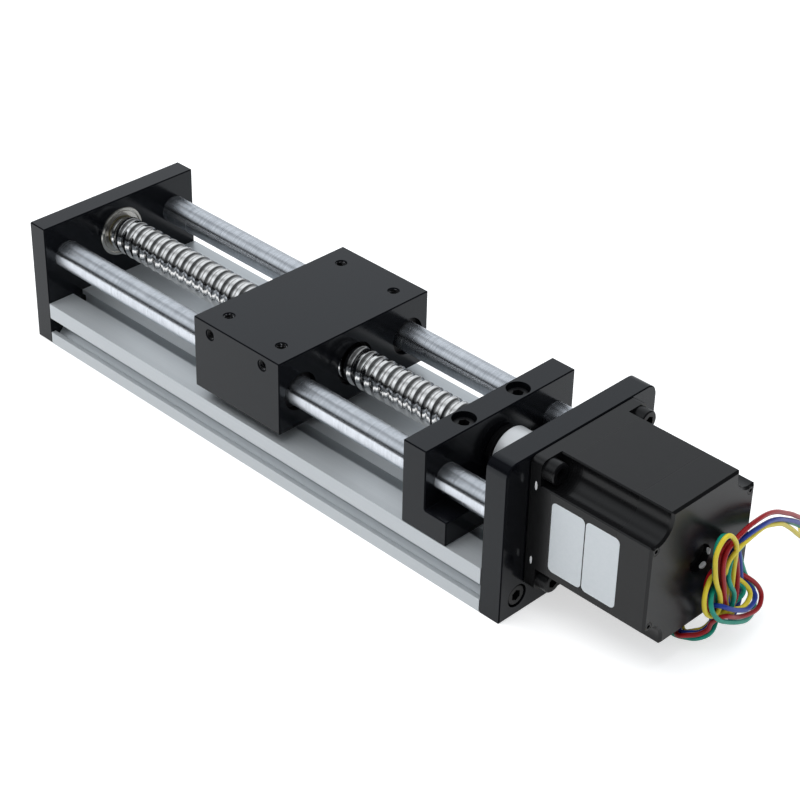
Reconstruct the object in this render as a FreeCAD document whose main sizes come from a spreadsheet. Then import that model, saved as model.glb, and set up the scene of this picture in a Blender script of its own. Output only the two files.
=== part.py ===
import FreeCAD, Part
import math
import os
import Sketcher

# Ball screw linear module: an extruded base, two end plates, two guide shafts, a ball screw in two
# bearings, a carriage on the shafts, and a stepping motor that turns the screw through a coupling.
# Millimetres. +X runs from the idle end to the motor, +Z is up, Z = 0 is the face it stands on,
# Y = 0 is the middle, and X = 0 is half way between the idle end plate and the back of the motor.

os.makedirs("parts", exist_ok=True)
doc = FreeCAD.newDocument("linear_module")
sheet = doc.addObject("Spreadsheet::Sheet", "Sizes")

SIZES = [
    ("unit_width", 80.0),
    ("end_plate_thickness", 9.5),
    ("end_plate_rise", 15.5),
    ("profile_length", 250.0),
    ("profile_height", 19.5),
    ("motor_plate_thickness", 10.0),
    ("motor_plate_rise", 28.5),
    ("motor_plate_corner", 5.0),
    ("edge_break", 0.4),
    ("axis_height", 39.5),
    ("seat_gap", 0.02),
    ("running_gap", 0.05),
    ("end_gap", 0.2),
    ("screw_gap", 0.1),
    # T-slots, chamber and core bores of the extrusion
    ("slot_lip", 2.0),
    ("side_slot_height", 9.0),
    ("side_slot_opening", 7.0),
    ("side_slot_flare", 2.0),
    ("side_slot_depth", 6.1),
    ("top_slot_inset", 15.0),
    ("top_slot_opening", 5.0),
    ("top_slot_flare", 1.5),
    ("top_slot_depth", 7.5),
    ("bottom_slot_depth", 6.0),
    ("chamber_width", 20.0),
    ("chamber_wall", 3.0),
    ("core_bore_inset", 9.0),
    ("core_bore_height", 8.2),
    # metric screws: five, three and four millimetre threads
    ("five_radius", 2.5),
    ("five_core_radius", 2.1),
    ("five_clear_radius", 2.65),
    ("five_head_radius", 4.25),
    ("five_head_height", 5.0),
    ("five_sink_radius", 4.75),
    ("low_head_height", 2.8),
    ("head_clearance", 0.4),
    ("thread_depth", 12.0),
    ("tip_clearance", 1.0),
    ("socket_share", 0.54),
    ("socket_depth_share", 0.55),
    ("three_radius", 1.5),
    ("three_head_radius", 2.75),
    ("three_head_height", 1.6),
    ("four_radius", 2.0),
    # guide shafts
    ("shaft_radius", 6.0),
    ("shaft_inset", 11.0),
    ("idle_shaft_seat", 4.0),
    ("motor_shaft_seat", 6.0),
    # ball screw
    ("screw_radius", 8.0),
    ("shoulder_radius", 6.0),
    ("journal_radius", 5.0),
    ("drive_end_radius", 4.0),
    ("journal_tip", 1.8),
    ("thread_start_gap", 0.5),
    ("thread_end_gap", 0.5),
    # deep groove bearings of both screw ends
    ("bearing_radius", 11.0),
    ("bearing_width", 6.0),
    ("bearing_ring_wall", 1.6),
    ("bearing_shield", 0.5),
    ("shield_setback", 0.4),
    ("bearing_proud", 0.6),
    ("circlip_thickness", 1.0),
    ("circlip_wall", 1.8),
    ("circlip_clearance", 0.5),
    # bearing block
    ("block_setback", 40.0),
    ("block_thickness", 11.5),
    ("block_rise", 16.0),
    ("foot_length", 11.0),
    ("foot_drop", 9.5),
    ("block_screw_spacing", 29.0),
    ("block_sink_depth", 7.0),
    ("block_bearing_seat", 8.0),
    ("block_screw_grip", 6.0),
    ("lock_nut_radius", 9.0),
    ("lock_nut_width", 2.5),
    ("sleeve_radius", 6.8),
    # coupling
    ("coupling_gap", 1.7),
    ("coupling_radius", 10.25),
    ("coupling_clearance", 0.8),
    ("coupling_length", 25.0),
    ("coupling_slit", 0.9),
    ("coupling_slit_pitch", 2.6),
    ("grub_inset", 4.2),
    ("drive_end_reach", 11.5),
    # carriage
    ("carriage_gap", 95.0),
    ("carriage_length", 49.0),
    ("carriage_clearance", 4.5),
    ("carriage_rise", 16.5),
    ("carriage_hole_pitch", 30.0),
    ("carriage_hole_inset", 10.0),
    ("carriage_hole_depth", 7.5),
    ("side_hole_drop", 4.7),
    ("side_hole_depth", 7.0),
    ("hole_countersink", 0.4),
    ("carriage_face_wall", 3.0),
    ("shaft_window_radius", 8.0),
    ("screw_window_radius", 9.2),
    ("bush_radius", 8.5),
    ("bush_length", 18.0),
    ("bush_setback", 1.5),
    ("nut_radius", 13.0),
    ("wiper_radius", 10.5),
    ("wiper_width", 2.5),
    ("retainer_thickness", 2.5),
    ("retainer_width", 36.0),
    ("retainer_height", 28.0),
    ("retainer_screw_offset", 15.3),
    ("retainer_screw_rise", 9.3),
    ("retainer_screw_length", 8.0),
    # stepping motor
    ("motor_length", 55.0),
    ("motor_square", 56.4),
    ("motor_bolt_offset", 23.57),
    ("motor_flange_thickness", 5.2),
    ("front_bell_length", 10.0),
    ("rear_bell_length", 15.0),
    ("scallop_offset", 25.6),
    ("scallop_radius", 7.65),
    ("scallop_edge", 0.6),
    ("flange_corner", 3.0),
    ("flange_bevel", 0.5),
    ("rear_bevel", 0.9),
    ("pilot_radius", 19.05),
    ("pilot_height", 1.6),
    ("coupling_bore_radius", 12.5),
    ("motor_shaft_radius", 4.0),
    ("motor_shaft_reach", 21.0),
    ("motor_bearing_radius", 11.0),
    ("motor_bearing_width", 7.0),
    ("bell_bore_gap", 2.0),
    ("bell_cavity_radius", 23.0),
    ("front_cavity_depth", 3.5),
    ("rear_cavity_depth", 5.0),
    ("stator_bore_radius", 16.5),
    ("rotor_radius", 16.1),
    ("rotor_end_gap", 1.0),
    ("winding_radius", 22.0),
    ("winding_wall", 4.5),
    ("rear_window_radius", 5.5),
    ("tie_side_offset", 25.6),
    ("tie_height_offset", 16.0),
    ("tie_radius", 1.25),
    ("tie_head_radius", 1.6),
    ("tie_head_height", 1.0),
    ("tie_grip", 3.0),
    ("motor_screw_length", 14.0),
    ("sticker_width", 15.0),
    ("sticker_height", 29.6),
    ("sticker_thickness", 0.1),
    ("sticker_corner", 2.0),
    ("sticker_station", 11.1),
    ("sticker_pitch", 15.5),
    ("grommet_setback", 7.0),
    ("grommet_length", 10.4),
    ("grommet_width", 4.4),
    ("grommet_depth", 4.0),
    ("grommet_lip", 0.9),
    ("grommet_lip_height", 1.0),
    ("lead_radius", 0.9),
    ("knot_radius", 13.5),
    ("knot_eye_radius", 7.0),
    ("knot_thickness", 4.4),
    ("knot_standoff", 7.0),
    ("knot_shift", 13.7),
    ("knot_height", 17.7),
    ("loop_width", 15.0),
    ("loop_standoff", 6.0),
    ("loop_shift", 8.4),
    ("loop_low", 25.0),
    ("loop_high", 41.5),
]
for row, (name, value) in enumerate(SIZES, start=1):
    sheet.set(f"A{row}", name)
    sheet.set(f"B{row}", str(value))
    sheet.setAlias(f"B{row}", name)
doc.recompute()

NODES = []


def words(text):
    """An expression in which each size named in the sheet is written as the sheet's own cell."""
    out = ""
    word = ""
    for sign in text + " ":
        if sign.isalnum() or sign == "_":
            word += sign
            continue
        out += "Sizes." + word if word in NAMES else word
        out += sign
        word = ""
    return out.strip()


NAMES = {name for name, value in SIZES}


def value_of(text):
    """The number that an expression of sizes has now."""
    return float(sheet.evalExpression(words(text)))


def bind(target, prop, text):
    """Ties a property to an expression of sizes."""
    target.setExpression(prop, words(text))


def node(target, name):
    """Names a finished piece and keeps it for the export."""
    target.Label = name
    NODES.append(target)
    return target


def place(target, x="0", y="0", z="0", turn=None):
    """Puts a piece at a place given by expressions, after an optional turn (axis, angle)."""
    if turn:
        axis, angle = turn
        target.Placement = FreeCAD.Placement(FreeCAD.Vector(), FreeCAD.Rotation(axis, angle))
    for letter, text in zip("xyz", (x, y, z)):
        bind(target, f".Placement.Base.{letter}", text)
    return target


# Stations along X, from the middle of the whole length
MIDDLE = "(end_plate_thickness + profile_length + motor_plate_thickness + motor_length) / 2"
IDLE_FACE = f"-{MIDDLE}"
PROFILE_START = f"end_plate_thickness - {MIDDLE}"
MOTOR_PLATE_START = f"end_plate_thickness + profile_length - {MIDDLE}"
MOTOR_START = f"{MOTOR_PLATE_START} + motor_plate_thickness"
CARRIAGE_START = f"{PROFILE_START} + carriage_gap"
BLOCK_START = f"{MOTOR_PLATE_START} - block_setback"
IDLE_BEARING_START = f"{PROFILE_START} + bearing_proud - bearing_width"
FIXED_BEARING_START = f"{BLOCK_START} + block_bearing_seat - bearing_width"
LOCK_NUT_START = f"{BLOCK_START} + block_thickness + end_gap"
COUPLING_START = f"{LOCK_NUT_START} + lock_nut_width + coupling_gap"
SHAFT_START = f"{PROFILE_START} - idle_shaft_seat"

# Heights above the standing face, and distances from the middle plane to either side
END_PLATE_TOP = "axis_height + end_plate_rise"
MOTOR_PLATE_TOP = "axis_height + motor_plate_rise"
BLOCK_TOP = "axis_height + block_rise"
CARRIAGE_TOP = "axis_height + carriage_rise"
CARRIAGE_BOTTOM = "profile_height + carriage_clearance"
SHAFT_SIDE = "unit_width / 2 - shaft_inset"
CORE_SIDE = "unit_width / 2 - core_bore_inset"
TOP_SLOT_SIDE = "unit_width / 2 - top_slot_inset"
CARRIAGE_HOLE_SIDE = "unit_width / 2 - carriage_hole_inset"
BLOCK_SCREW_LENGTH = f"{BLOCK_TOP} - block_sink_depth - profile_height + block_screw_grip"

X_AXIS = FreeCAD.Vector(1, 0, 0)
Y_AXIS = FreeCAD.Vector(0, 1, 0)
ALONG_X = (Y_AXIS, 90)
AGAINST_X = (Y_AXIS, -90)
PLANES = {"x": "YZ_Plane", "y": "XZ_Plane", "z": "XY_Plane"}
# Two places nearer than this are the same place
NEAR = 0.01


def plane_of(body, letter):
    """The origin plane of a body that is square to the given axis."""
    return next(f for f in body.Origin.OriginFeatures if f.Role == PLANES[letter])


def sketch_on(body, letter, station="0"):
    """A sketch square to an axis; its own plane is moved along its normal by station."""
    sketch = body.newObject("Sketcher::SketchObject", body.Name + "Sketch")
    sketch.AttachmentSupport = (plane_of(body, letter), [""])
    sketch.MapMode = "FlatFace"
    bind(sketch, "AttachmentOffset.Base.z", station)
    return sketch


def pin_point(sketch, shape, corner, first, second):
    """Holds a point of the sketch at two distances from its origin."""
    for kind, text in (("DistanceX", first), ("DistanceY", second)):
        number = sketch.addConstraint(
            Sketcher.Constraint(kind, -1, 1, shape, corner, value_of(text)))
        bind(sketch, f"Constraints[{number}]", text)


def draw_outline(sketch, corners):
    """A closed outline of straight sides through corners given by expressions."""
    points = [FreeCAD.Vector(value_of(a), value_of(b), 0) for a, b in corners]
    first = sketch.GeometryCount
    count = len(points)
    for k in range(count):
        sketch.addGeometry(Part.LineSegment(points[k], points[(k + 1) % count]), False)
    for k in range(count):
        after = first + (k + 1) % count
        sketch.addConstraint(Sketcher.Constraint("Coincident", first + k, 2, after, 1))
    for k, (a, b) in enumerate(corners):
        pin_point(sketch, first + k, 1, a, b)


def draw_round(sketch, first, second, radius):
    """A circle whose centre and radius are given by expressions."""
    centre = FreeCAD.Vector(value_of(first), value_of(second), 0)
    shape = sketch.addGeometry(
        Part.Circle(centre, FreeCAD.Vector(0, 0, 1), value_of(radius)), False)
    pin_point(sketch, shape, 3, first, second)
    number = sketch.addConstraint(Sketcher.Constraint("Radius", shape, value_of(radius)))
    bind(sketch, f"Constraints[{number}]", radius)


def rectangle(a_low, a_high, b_low, b_high):
    """The four corners of a rectangle, each side given by an expression."""
    return [(a_low, b_low), (a_high, b_low), (a_high, b_high), (a_low, b_high)]


def new_body(name):
    """An empty body whose label is the name of its node."""
    return node(doc.addObject("PartDesign::Body", name), name)


def pad(body, sketch, length):
    """Material on a sketch, along the sketch's normal."""
    feature = body.newObject("PartDesign::Pad", body.Name + "Pad")
    feature.Profile = sketch
    bind(feature, "Length", length)
    doc.recompute()
    return feature


def cut(body, sketch, depth=None, forward=False):
    """A pocket against the sketch's normal, or along it when forward; through all with no depth."""
    before = body.Shape.Volume
    feature = body.newObject("PartDesign::Pocket", body.Name + "Pocket")
    feature.Profile = sketch
    feature.Reversed = forward
    if depth is None:
        feature.Type = "ThroughAll"
    else:
        bind(feature, "Length", depth)
    doc.recompute()
    if not body.Shape.Volume < before:
        raise ValueError(f"{body.Label}: a pocket cuts nothing")
    return feature


def drill(body, letter, station, rounds, depth=None, forward=False):
    """Round holes from the plane at station: each round is two centre distances and a radius."""
    sketch = sketch_on(body, letter, station)
    for first, second, radius in rounds:
        draw_round(sketch, first, second, radius)
    return cut(body, sketch, depth, forward)


def mirrored(body, feature, letter="y"):
    """The same feature on the other side of the middle plane."""
    copy = body.newObject("PartDesign::Mirrored", body.Name + "Mirrored")
    copy.Originals = [feature]
    copy.MirrorPlane = (plane_of(body, letter), [""])
    body.Tip = copy
    doc.recompute()
    return copy


def edges_of(shape, test):
    """The names of the edges whose two ends pass a test."""
    names = []
    for number, edge in enumerate(shape.Edges, start=1):
        ends = [v.Point for v in edge.Vertexes]
        if len(ends) == 2 and test(*ends):
            names.append(f"Edge{number}")
    return names


def mouths_of(shape, radius, test):
    """The names of the full circles of a radius whose centre passes a test."""
    names = []
    for number, edge in enumerate(shape.Edges, start=1):
        if not isinstance(edge.Curve, Part.Circle):
            continue
        if abs(edge.Curve.Radius - radius) < NEAR and test(edge.Curve.Center):
            names.append(f"Edge{number}")
    return names


def bevel(body, base, names, size):
    """A chamfer on the named edges of a feature."""
    feature = body.newObject("PartDesign::Chamfer", body.Name + "Chamfer")
    feature.Base = (base, names)
    bind(feature, "Size", size)
    doc.recompute()
    return feature


def break_edges(body, base, size="edge_break", test=lambda a, b: True):
    """A small chamfer on the edges of a block, as a deburred machined piece has."""
    return bevel(body, base, edges_of(base.Shape, test), size)


def turned(name, outline, x, y="0", z="axis_height"):
    """A turned piece: a half section (distance along X, radius) revolved about X."""
    body = new_body(name)
    sketch = sketch_on(body, "z")
    draw_outline(sketch, outline)
    feature = body.newObject("PartDesign::Revolution", name + "Revolution")
    feature.Profile = sketch
    feature.ReferenceAxis = (sketch, ["H_Axis"])
    feature.Angle = 360
    doc.recompute()
    place(body, x, y, z)
    return body


def ring(name, length, inner, outer, x, y="0", z="axis_height"):
    """A plain ring or sleeve about X."""
    return turned(name, rectangle("0", length, inner, outer), x, y, z)


# Screws, each a head and a shank along its own Z, gathered into one node per set
def one_screw(name, shank_radius, length, head_radius, head_height):
    """A socket screw that points down, with the underside of its head at its origin."""
    shank = doc.addObject("Part::Cylinder", name + "Shank")
    bind(shank, "Radius", shank_radius)
    bind(shank, "Height", length)
    bind(shank, ".Placement.Base.z", f"-({length})")
    bevel = f"{head_radius} / 10"
    head = doc.addObject("Part::Cylinder", name + "Head")
    bind(head, "Radius", head_radius)
    bind(head, "Height", f"{head_height} - {bevel}")
    crown = doc.addObject("Part::Cone", name + "Crown")
    bind(crown, "Radius1", head_radius)
    bind(crown, "Radius2", f"{head_radius} - {bevel}")
    bind(crown, "Height", bevel)
    bind(crown, ".Placement.Base.z", f"{head_height} - {bevel}")
    blank = doc.addObject("Part::MultiFuse", name + "Blank")
    blank.Shapes = [shank, head, crown]
    socket = doc.addObject("Part::Prism", name + "Socket")
    socket.Polygon = 6
    bind(socket, "Circumradius", f"{head_radius} * socket_share")
    bind(socket, "Height", head_height)
    bind(socket, ".Placement.Base.z", f"{head_height} * (1 - socket_depth_share)")
    whole = doc.addObject("Part::Cut", name)
    whole.Base = blank
    whole.Tool = socket
    return whole


def screw_set(name, places, shank_radius, length, head_radius, head_height, turn=None):
    """Identical screws, one at each place."""
    copies = []
    for number, (x, y, z) in enumerate(places, start=1):
        screw = one_screw(f"{name}{number}", shank_radius, length, head_radius, head_height)
        copies.append(place(screw, x, y, z, turn))
    group = doc.addObject("Part::Compound", name)
    group.Links = copies
    return node(group, name)


def both_sides(offset):
    """A distance on the front side and on the rear side."""
    return [f"-({offset})", f"{offset}"]


# Base extrusion
def base_profile():
    body = new_body("base_profile")
    sketch = sketch_on(body, "x")
    draw_outline(sketch, rectangle("-unit_width / 2", "unit_width / 2", "0", "profile_height"))
    pad(body, sketch, "profile_length")
    chamber = sketch_on(body, "x")
    draw_outline(chamber, rectangle("-chamber_width / 2", "chamber_width / 2",
                                    "chamber_wall", "profile_height - chamber_wall"))
    cut(body, chamber, None, True)
    side = sketch_on(body, "x")
    low = "side_slot_height - side_slot_opening / 2"
    high = "side_slot_height + side_slot_opening / 2"
    lip = "unit_width / 2 - slot_lip"
    wide = f"{lip} - side_slot_flare"
    back = "unit_width / 2 - side_slot_depth"
    ramp = "side_slot_depth - slot_lip - 2 * side_slot_flare"
    draw_outline(side, [
        ("unit_width / 2", low), (lip, low), (wide, f"{low} - side_slot_flare"),
        (back, f"{low} + {ramp}"), (back, f"{high} - ({ramp})"),
        (wide, f"{high} + side_slot_flare"), (lip, high), ("unit_width / 2", high)])
    mirrored(body, cut(body, side, None, True))
    for surface, sign, depth in (("profile_height", "-", "top_slot_depth"),
                                 ("0", "+", "bottom_slot_depth")):
        slot = sketch_on(body, "x")
        inner = f"{TOP_SLOT_SIDE} - top_slot_opening / 2"
        outer = f"{TOP_SLOT_SIDE} + top_slot_opening / 2"
        under = f"{surface} {sign} slot_lip"
        flare = f"{under} {sign} top_slot_flare"
        floor = f"{surface} {sign} {depth}"
        shelf = f"{surface} {sign} ({depth} - top_slot_flare)"
        draw_outline(slot, [
            (inner, surface), (inner, under), (f"{inner} - top_slot_flare", flare),
            (f"{inner} - top_slot_flare", shelf), (inner, floor), (outer, floor),
            (f"{outer} + top_slot_flare", shelf), (f"{outer} + top_slot_flare", flare),
            (outer, under), (outer, surface)])
        mirrored(body, cut(body, slot, None, True))
    for side_sign in both_sides(CORE_SIDE):
        bore = [(side_sign, "core_bore_height", "five_radius + screw_gap")]
        drill(body, "x", "0", bore, "thread_depth", True)
        drill(body, "x", "profile_length", bore, "thread_depth")
    taps = [("profile_length - block_setback + block_thickness / 2", offset, "five_radius + screw_gap")
            for offset in both_sides("block_screw_spacing / 2")]
    drill(body, "z", "profile_height", taps, "block_screw_grip + tip_clearance")
    place(body, PROFILE_START)


# The two end plates
def idle_end_plate():
    body = new_body("idle_end_plate")
    sketch = sketch_on(body, "x")
    draw_outline(sketch, rectangle("-unit_width / 2", "unit_width / 2", "0", END_PLATE_TOP))
    break_edges(body, pad(body, sketch, "end_plate_thickness"))
    drill(body, "x", "end_plate_thickness", [("0", "axis_height", "bearing_radius + seat_gap")],
          "bearing_width - bearing_proud")
    drill(body, "x", "0", [("0", "axis_height", "journal_radius + circlip_wall + circlip_clearance")],
          None, True)
    for offset in both_sides(SHAFT_SIDE):
        drill(body, "x", "end_plate_thickness",
              [(offset, "axis_height", "shaft_radius + seat_gap")], "idle_shaft_seat")
        drill(body, "x", "0", [(offset, "axis_height", "five_clear_radius")], None, True)
        drill(body, "x", "0", [(offset, "axis_height", "five_sink_radius")],
              "low_head_height + end_gap", True)
    for offset in both_sides(CORE_SIDE):
        drill(body, "x", "0", [(offset, "core_bore_height", "five_clear_radius")], None, True)
        drill(body, "x", "0", [(offset, "core_bore_height", "five_sink_radius")],
              "five_head_height + head_clearance", True)
    place(body, IDLE_FACE)


def motor_plate():
    body = new_body("motor_plate")
    sketch = sketch_on(body, "x")
    draw_outline(sketch, rectangle("-unit_width / 2", "unit_width / 2", "0", MOTOR_PLATE_TOP))
    block = pad(body, sketch, "motor_plate_thickness")
    corner = body.newObject("PartDesign::Fillet", "MotorPlateCorner")
    top = value_of(MOTOR_PLATE_TOP)
    corner.Base = (block, edges_of(
        block.Shape, lambda a, b: min(a.z, b.z) > top - 1 and abs(a.x - b.x) > 1))
    bind(corner, "Radius", "motor_plate_corner")
    doc.recompute()
    break_edges(body, corner, test=lambda a, b: abs(a.x - b.x) < NEAR)
    drill(body, "x", "0", [("0", "axis_height", "coupling_bore_radius")], None, True)
    drill(body, "x", "motor_plate_thickness", [("0", "axis_height", "pilot_radius + seat_gap")],
          "pilot_height + head_clearance")
    for offset in both_sides(SHAFT_SIDE):
        drill(body, "x", "0", [(offset, "axis_height", "shaft_radius + seat_gap")],
              "motor_shaft_seat", True)
    for side in both_sides("motor_bolt_offset"):
        drill(body, "x", "0", [(side, f"axis_height + {side}", "five_radius + screw_gap"),
                               (side, f"axis_height - ({side})", "five_radius + screw_gap")],
              None, True)
    for offset in both_sides(CORE_SIDE):
        drill(body, "x", "0", [(offset, "core_bore_height", "five_clear_radius")], None, True)
        drill(body, "x", "motor_plate_thickness",
              [(offset, "core_bore_height", "five_sink_radius")], "five_head_height + head_clearance")
    place(body, MOTOR_PLATE_START)


# Guide shafts, tapped at the idle end
def guide_shafts():
    length = "profile_length + idle_shaft_seat + motor_shaft_seat - seat_gap"
    for name, offset in zip(("guide_shaft_front", "guide_shaft_rear"),
                            both_sides(SHAFT_SIDE)):
        turned(name, [
            ("thread_depth", "0"), (length, "0"), (length, "shaft_radius - edge_break"),
            (f"{length} - edge_break", "shaft_radius"), ("edge_break", "shaft_radius"),
            ("0", "shaft_radius - edge_break"), ("0", "five_radius + screw_gap"),
            ("thread_depth", "five_radius + screw_gap")], SHAFT_START, offset)


# Ball screw with its journals, and what is carried on it
THREAD_START = "bearing_proud + thread_start_gap"
THREAD_END = "profile_length - block_setback - thread_end_gap"
FIXED_RING = "profile_length - block_setback + block_bearing_seat - bearing_width"
DRIVE_END = "profile_length - block_setback + block_thickness + lock_nut_width + 2 * end_gap"


def ball_screw():
    tip = "bearing_proud - bearing_width - journal_tip"
    end = f"{DRIVE_END} + drive_end_reach"
    turned("ball_screw", [
        (tip, "0"), (end, "0"), (end, "drive_end_radius"), (DRIVE_END, "drive_end_radius"),
        (DRIVE_END, "journal_radius"), (FIXED_RING, "journal_radius"),
        (FIXED_RING, "shoulder_radius"), (THREAD_END, "shoulder_radius"),
        (THREAD_END, "screw_radius"), (THREAD_START, "screw_radius"),
        (THREAD_START, "shoulder_radius"), ("bearing_proud", "shoulder_radius"),
        ("bearing_proud", "journal_radius"), (tip, "journal_radius")], PROFILE_START)


def bearing(name, start):
    """A shielded deep groove bearing in three pieces: outer ring, ball cage and inner ring."""
    race = "bearing_radius - bearing_ring_wall"
    hub = "journal_radius + seat_gap"
    hub_top = "journal_radius + bearing_ring_wall"
    lip = f"{hub_top} + 3 * running_gap"
    inside = "shield_setback + bearing_shield"
    turned(name + "_outer_ring", [
        ("shield_setback", lip), (inside, lip), (inside, race),
        (f"bearing_width - ({inside})", race), (f"bearing_width - ({inside})", lip),
        ("bearing_width - shield_setback", lip), ("bearing_width - shield_setback", race),
        ("bearing_width", race), ("bearing_width", "bearing_radius - edge_break"),
        ("bearing_width - edge_break", "bearing_radius"), ("0", "bearing_radius"),
        ("0", race), ("shield_setback", race)], start)
    turned(name + "_ball_cage", rectangle(
        f"{inside} + end_gap", f"bearing_width - ({inside}) - end_gap",
        f"{hub_top} + end_gap", f"{race} - end_gap"), start)
    ring(name + "_inner_ring", "bearing_width", hub, hub_top, start)


def screw_hardware():
    bearing("idle_bearing", IDLE_BEARING_START)
    bearing("fixed_bearing", FIXED_BEARING_START)
    ring("journal_circlip", "circlip_thickness", "journal_radius + seat_gap",
         "journal_radius + circlip_wall - seat_gap",
         f"{IDLE_BEARING_START} - circlip_thickness")
    ring("bearing_circlip", "circlip_thickness", "bearing_radius - circlip_wall", "bearing_radius",
         f"{FIXED_BEARING_START} - circlip_thickness")
    ring("spacer_sleeve", "block_thickness - block_bearing_seat + end_gap",
         "journal_radius + seat_gap", "sleeve_radius", f"{BLOCK_START} + block_bearing_seat")
    turned("lock_nut", [
        ("0", "journal_radius + seat_gap"), ("lock_nut_width", "journal_radius + seat_gap"),
        ("lock_nut_width", "lock_nut_radius - edge_break"),
        ("lock_nut_width - edge_break", "lock_nut_radius"), ("edge_break", "lock_nut_radius"),
        ("0", "lock_nut_radius - edge_break")], LOCK_NUT_START)


# Flexible coupling: a sleeve with staggered slits, clamped by set screws
def coupling():
    body = turned("coupling", [
        ("0", "drive_end_radius + seat_gap"), ("coupling_length", "drive_end_radius + seat_gap"),
        ("coupling_length", "coupling_radius - edge_break"),
        ("coupling_length - edge_break", "coupling_radius"), ("edge_break", "coupling_radius"),
        ("0", "coupling_radius - edge_break")], COUPLING_START)
    for number in range(4):
        side = "-" if number % 2 else ""
        start = f"coupling_length / 2 + ({number - 1.5}) * coupling_slit_pitch - coupling_slit / 2"
        slit = sketch_on(body, "z", "-coupling_radius")
        draw_outline(slit, rectangle(
            start, f"{start} + coupling_slit", f"{side}(-coupling_radius / 2)",
            f"{side}coupling_radius"))
        cut(body, slit, None, True)
    taps = [(f"{station}", "0", "four_radius + seat_gap")
            for station in ("grub_inset", "coupling_length - grub_inset")]
    drill(body, "z", "-coupling_radius", taps, "coupling_radius - drive_end_radius", True)
    copies = []
    for number, (station, along, radius) in enumerate(taps, start=1):
        grub = doc.addObject("Part::Cylinder", f"CouplingGrub{number}")
        bind(grub, "Radius", "four_radius")
        bind(grub, "Height", "coupling_radius - drive_end_radius - tip_clearance - 2 * seat_gap")
        copies.append(place(grub, f"{COUPLING_START} + {station}", "0",
                            "axis_height + seat_gap + tip_clearance - coupling_radius"))
    group = doc.addObject("Part::Compound", "coupling_set_screws")
    group.Links = copies
    node(group, "coupling_set_screws")


# Bearing block that stands on the extrusion, with a foot towards the motor
def bearing_block():
    body = new_body("bearing_block")
    foot_top = "axis_height - foot_drop"
    long = "block_thickness + foot_length"
    sketch = sketch_on(body, "y", "-unit_width / 2")
    draw_outline(sketch, [
        ("0", "profile_height"), (long, "profile_height"), (long, foot_top),
        ("block_thickness", foot_top), ("block_thickness", BLOCK_TOP), ("0", BLOCK_TOP)])
    break_edges(body, pad(body, sketch, "unit_width"))
    drill(body, "x", "0", [("0", "axis_height", "bearing_radius + seat_gap")],
          "block_bearing_seat", True)
    drill(body, "x", "0", [("0", "axis_height", "sleeve_radius + head_clearance")], None, True)
    drill(body, "x", "block_thickness", [("0", "axis_height", "coupling_radius + coupling_clearance")],
          None, True)
    for offset in both_sides(SHAFT_SIDE):
        drill(body, "x", "0", [(offset, "axis_height", "shaft_radius + screw_gap")],
              None, True)
    for offset in both_sides("block_screw_spacing / 2"):
        drill(body, "z", BLOCK_TOP, [("block_thickness / 2", offset, "five_sink_radius")],
              "block_sink_depth")
        drill(body, "z", BLOCK_TOP, [("block_thickness / 2", offset, "five_clear_radius")])
    place(body, BLOCK_START)


# Carriage with its bushes, ball nut, wipers and retainer
def carriage_block():
    body = new_body("carriage_block")
    sketch = sketch_on(body, "x")
    draw_outline(sketch, rectangle("-unit_width / 2", "unit_width / 2",
                                   CARRIAGE_BOTTOM, CARRIAGE_TOP))
    break_edges(body, pad(body, sketch, "carriage_length"))
    deep = "carriage_length - carriage_face_wall"
    drill(body, "x", "0", [("0", "axis_height", "screw_window_radius")], None, True)
    drill(body, "x", "0", [("0", "axis_height", "nut_radius + seat_gap")], deep, True)
    for offset in both_sides(SHAFT_SIDE):
        drill(body, "x", "0", [(offset, "axis_height", "shaft_window_radius")], None, True)
        drill(body, "x", "0", [(offset, "axis_height", "bush_radius + seat_gap")], deep, True)
    holes = [(f"carriage_length / 2 {sign} carriage_hole_pitch / 2", offset, "five_core_radius")
             for sign in "+-" for offset in both_sides(CARRIAGE_HOLE_SIDE)]
    drill(body, "z", CARRIAGE_TOP, holes, "carriage_hole_depth")
    sides = [(f"carriage_length / 2 {sign} carriage_hole_pitch / 2",
              f"{CARRIAGE_TOP} - side_hole_drop", "five_core_radius") for sign in "+-"]
    drill(body, "y", "unit_width / 2", sides, "side_hole_depth")
    drill(body, "y", "-unit_width / 2", sides, "side_hole_depth", True)
    recess = sketch_on(body, "x")
    draw_outline(recess, rectangle(
        "-retainer_width / 2 - screw_gap", "retainer_width / 2 + screw_gap",
        "axis_height - retainer_height / 2 - screw_gap",
        "axis_height + retainer_height / 2 + screw_gap"))
    cut(body, recess, "retainer_thickness", True)
    for offset in both_sides("retainer_screw_offset"):
        drill(body, "x", "retainer_thickness",
              [(offset, f"axis_height {sign} retainer_screw_rise", "three_radius + seat_gap")
               for sign in "+-"], "thread_depth", True)
    top = value_of(CARRIAGE_TOP)
    side = value_of("unit_width / 2")
    last = body.Tip
    bevel(body, last, mouths_of(
        last.Shape, value_of("five_core_radius"),
        lambda c: abs(c.z - top) < NEAR or abs(abs(c.y) - side) < NEAR), "hole_countersink")
    place(body, CARRIAGE_START)


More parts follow.
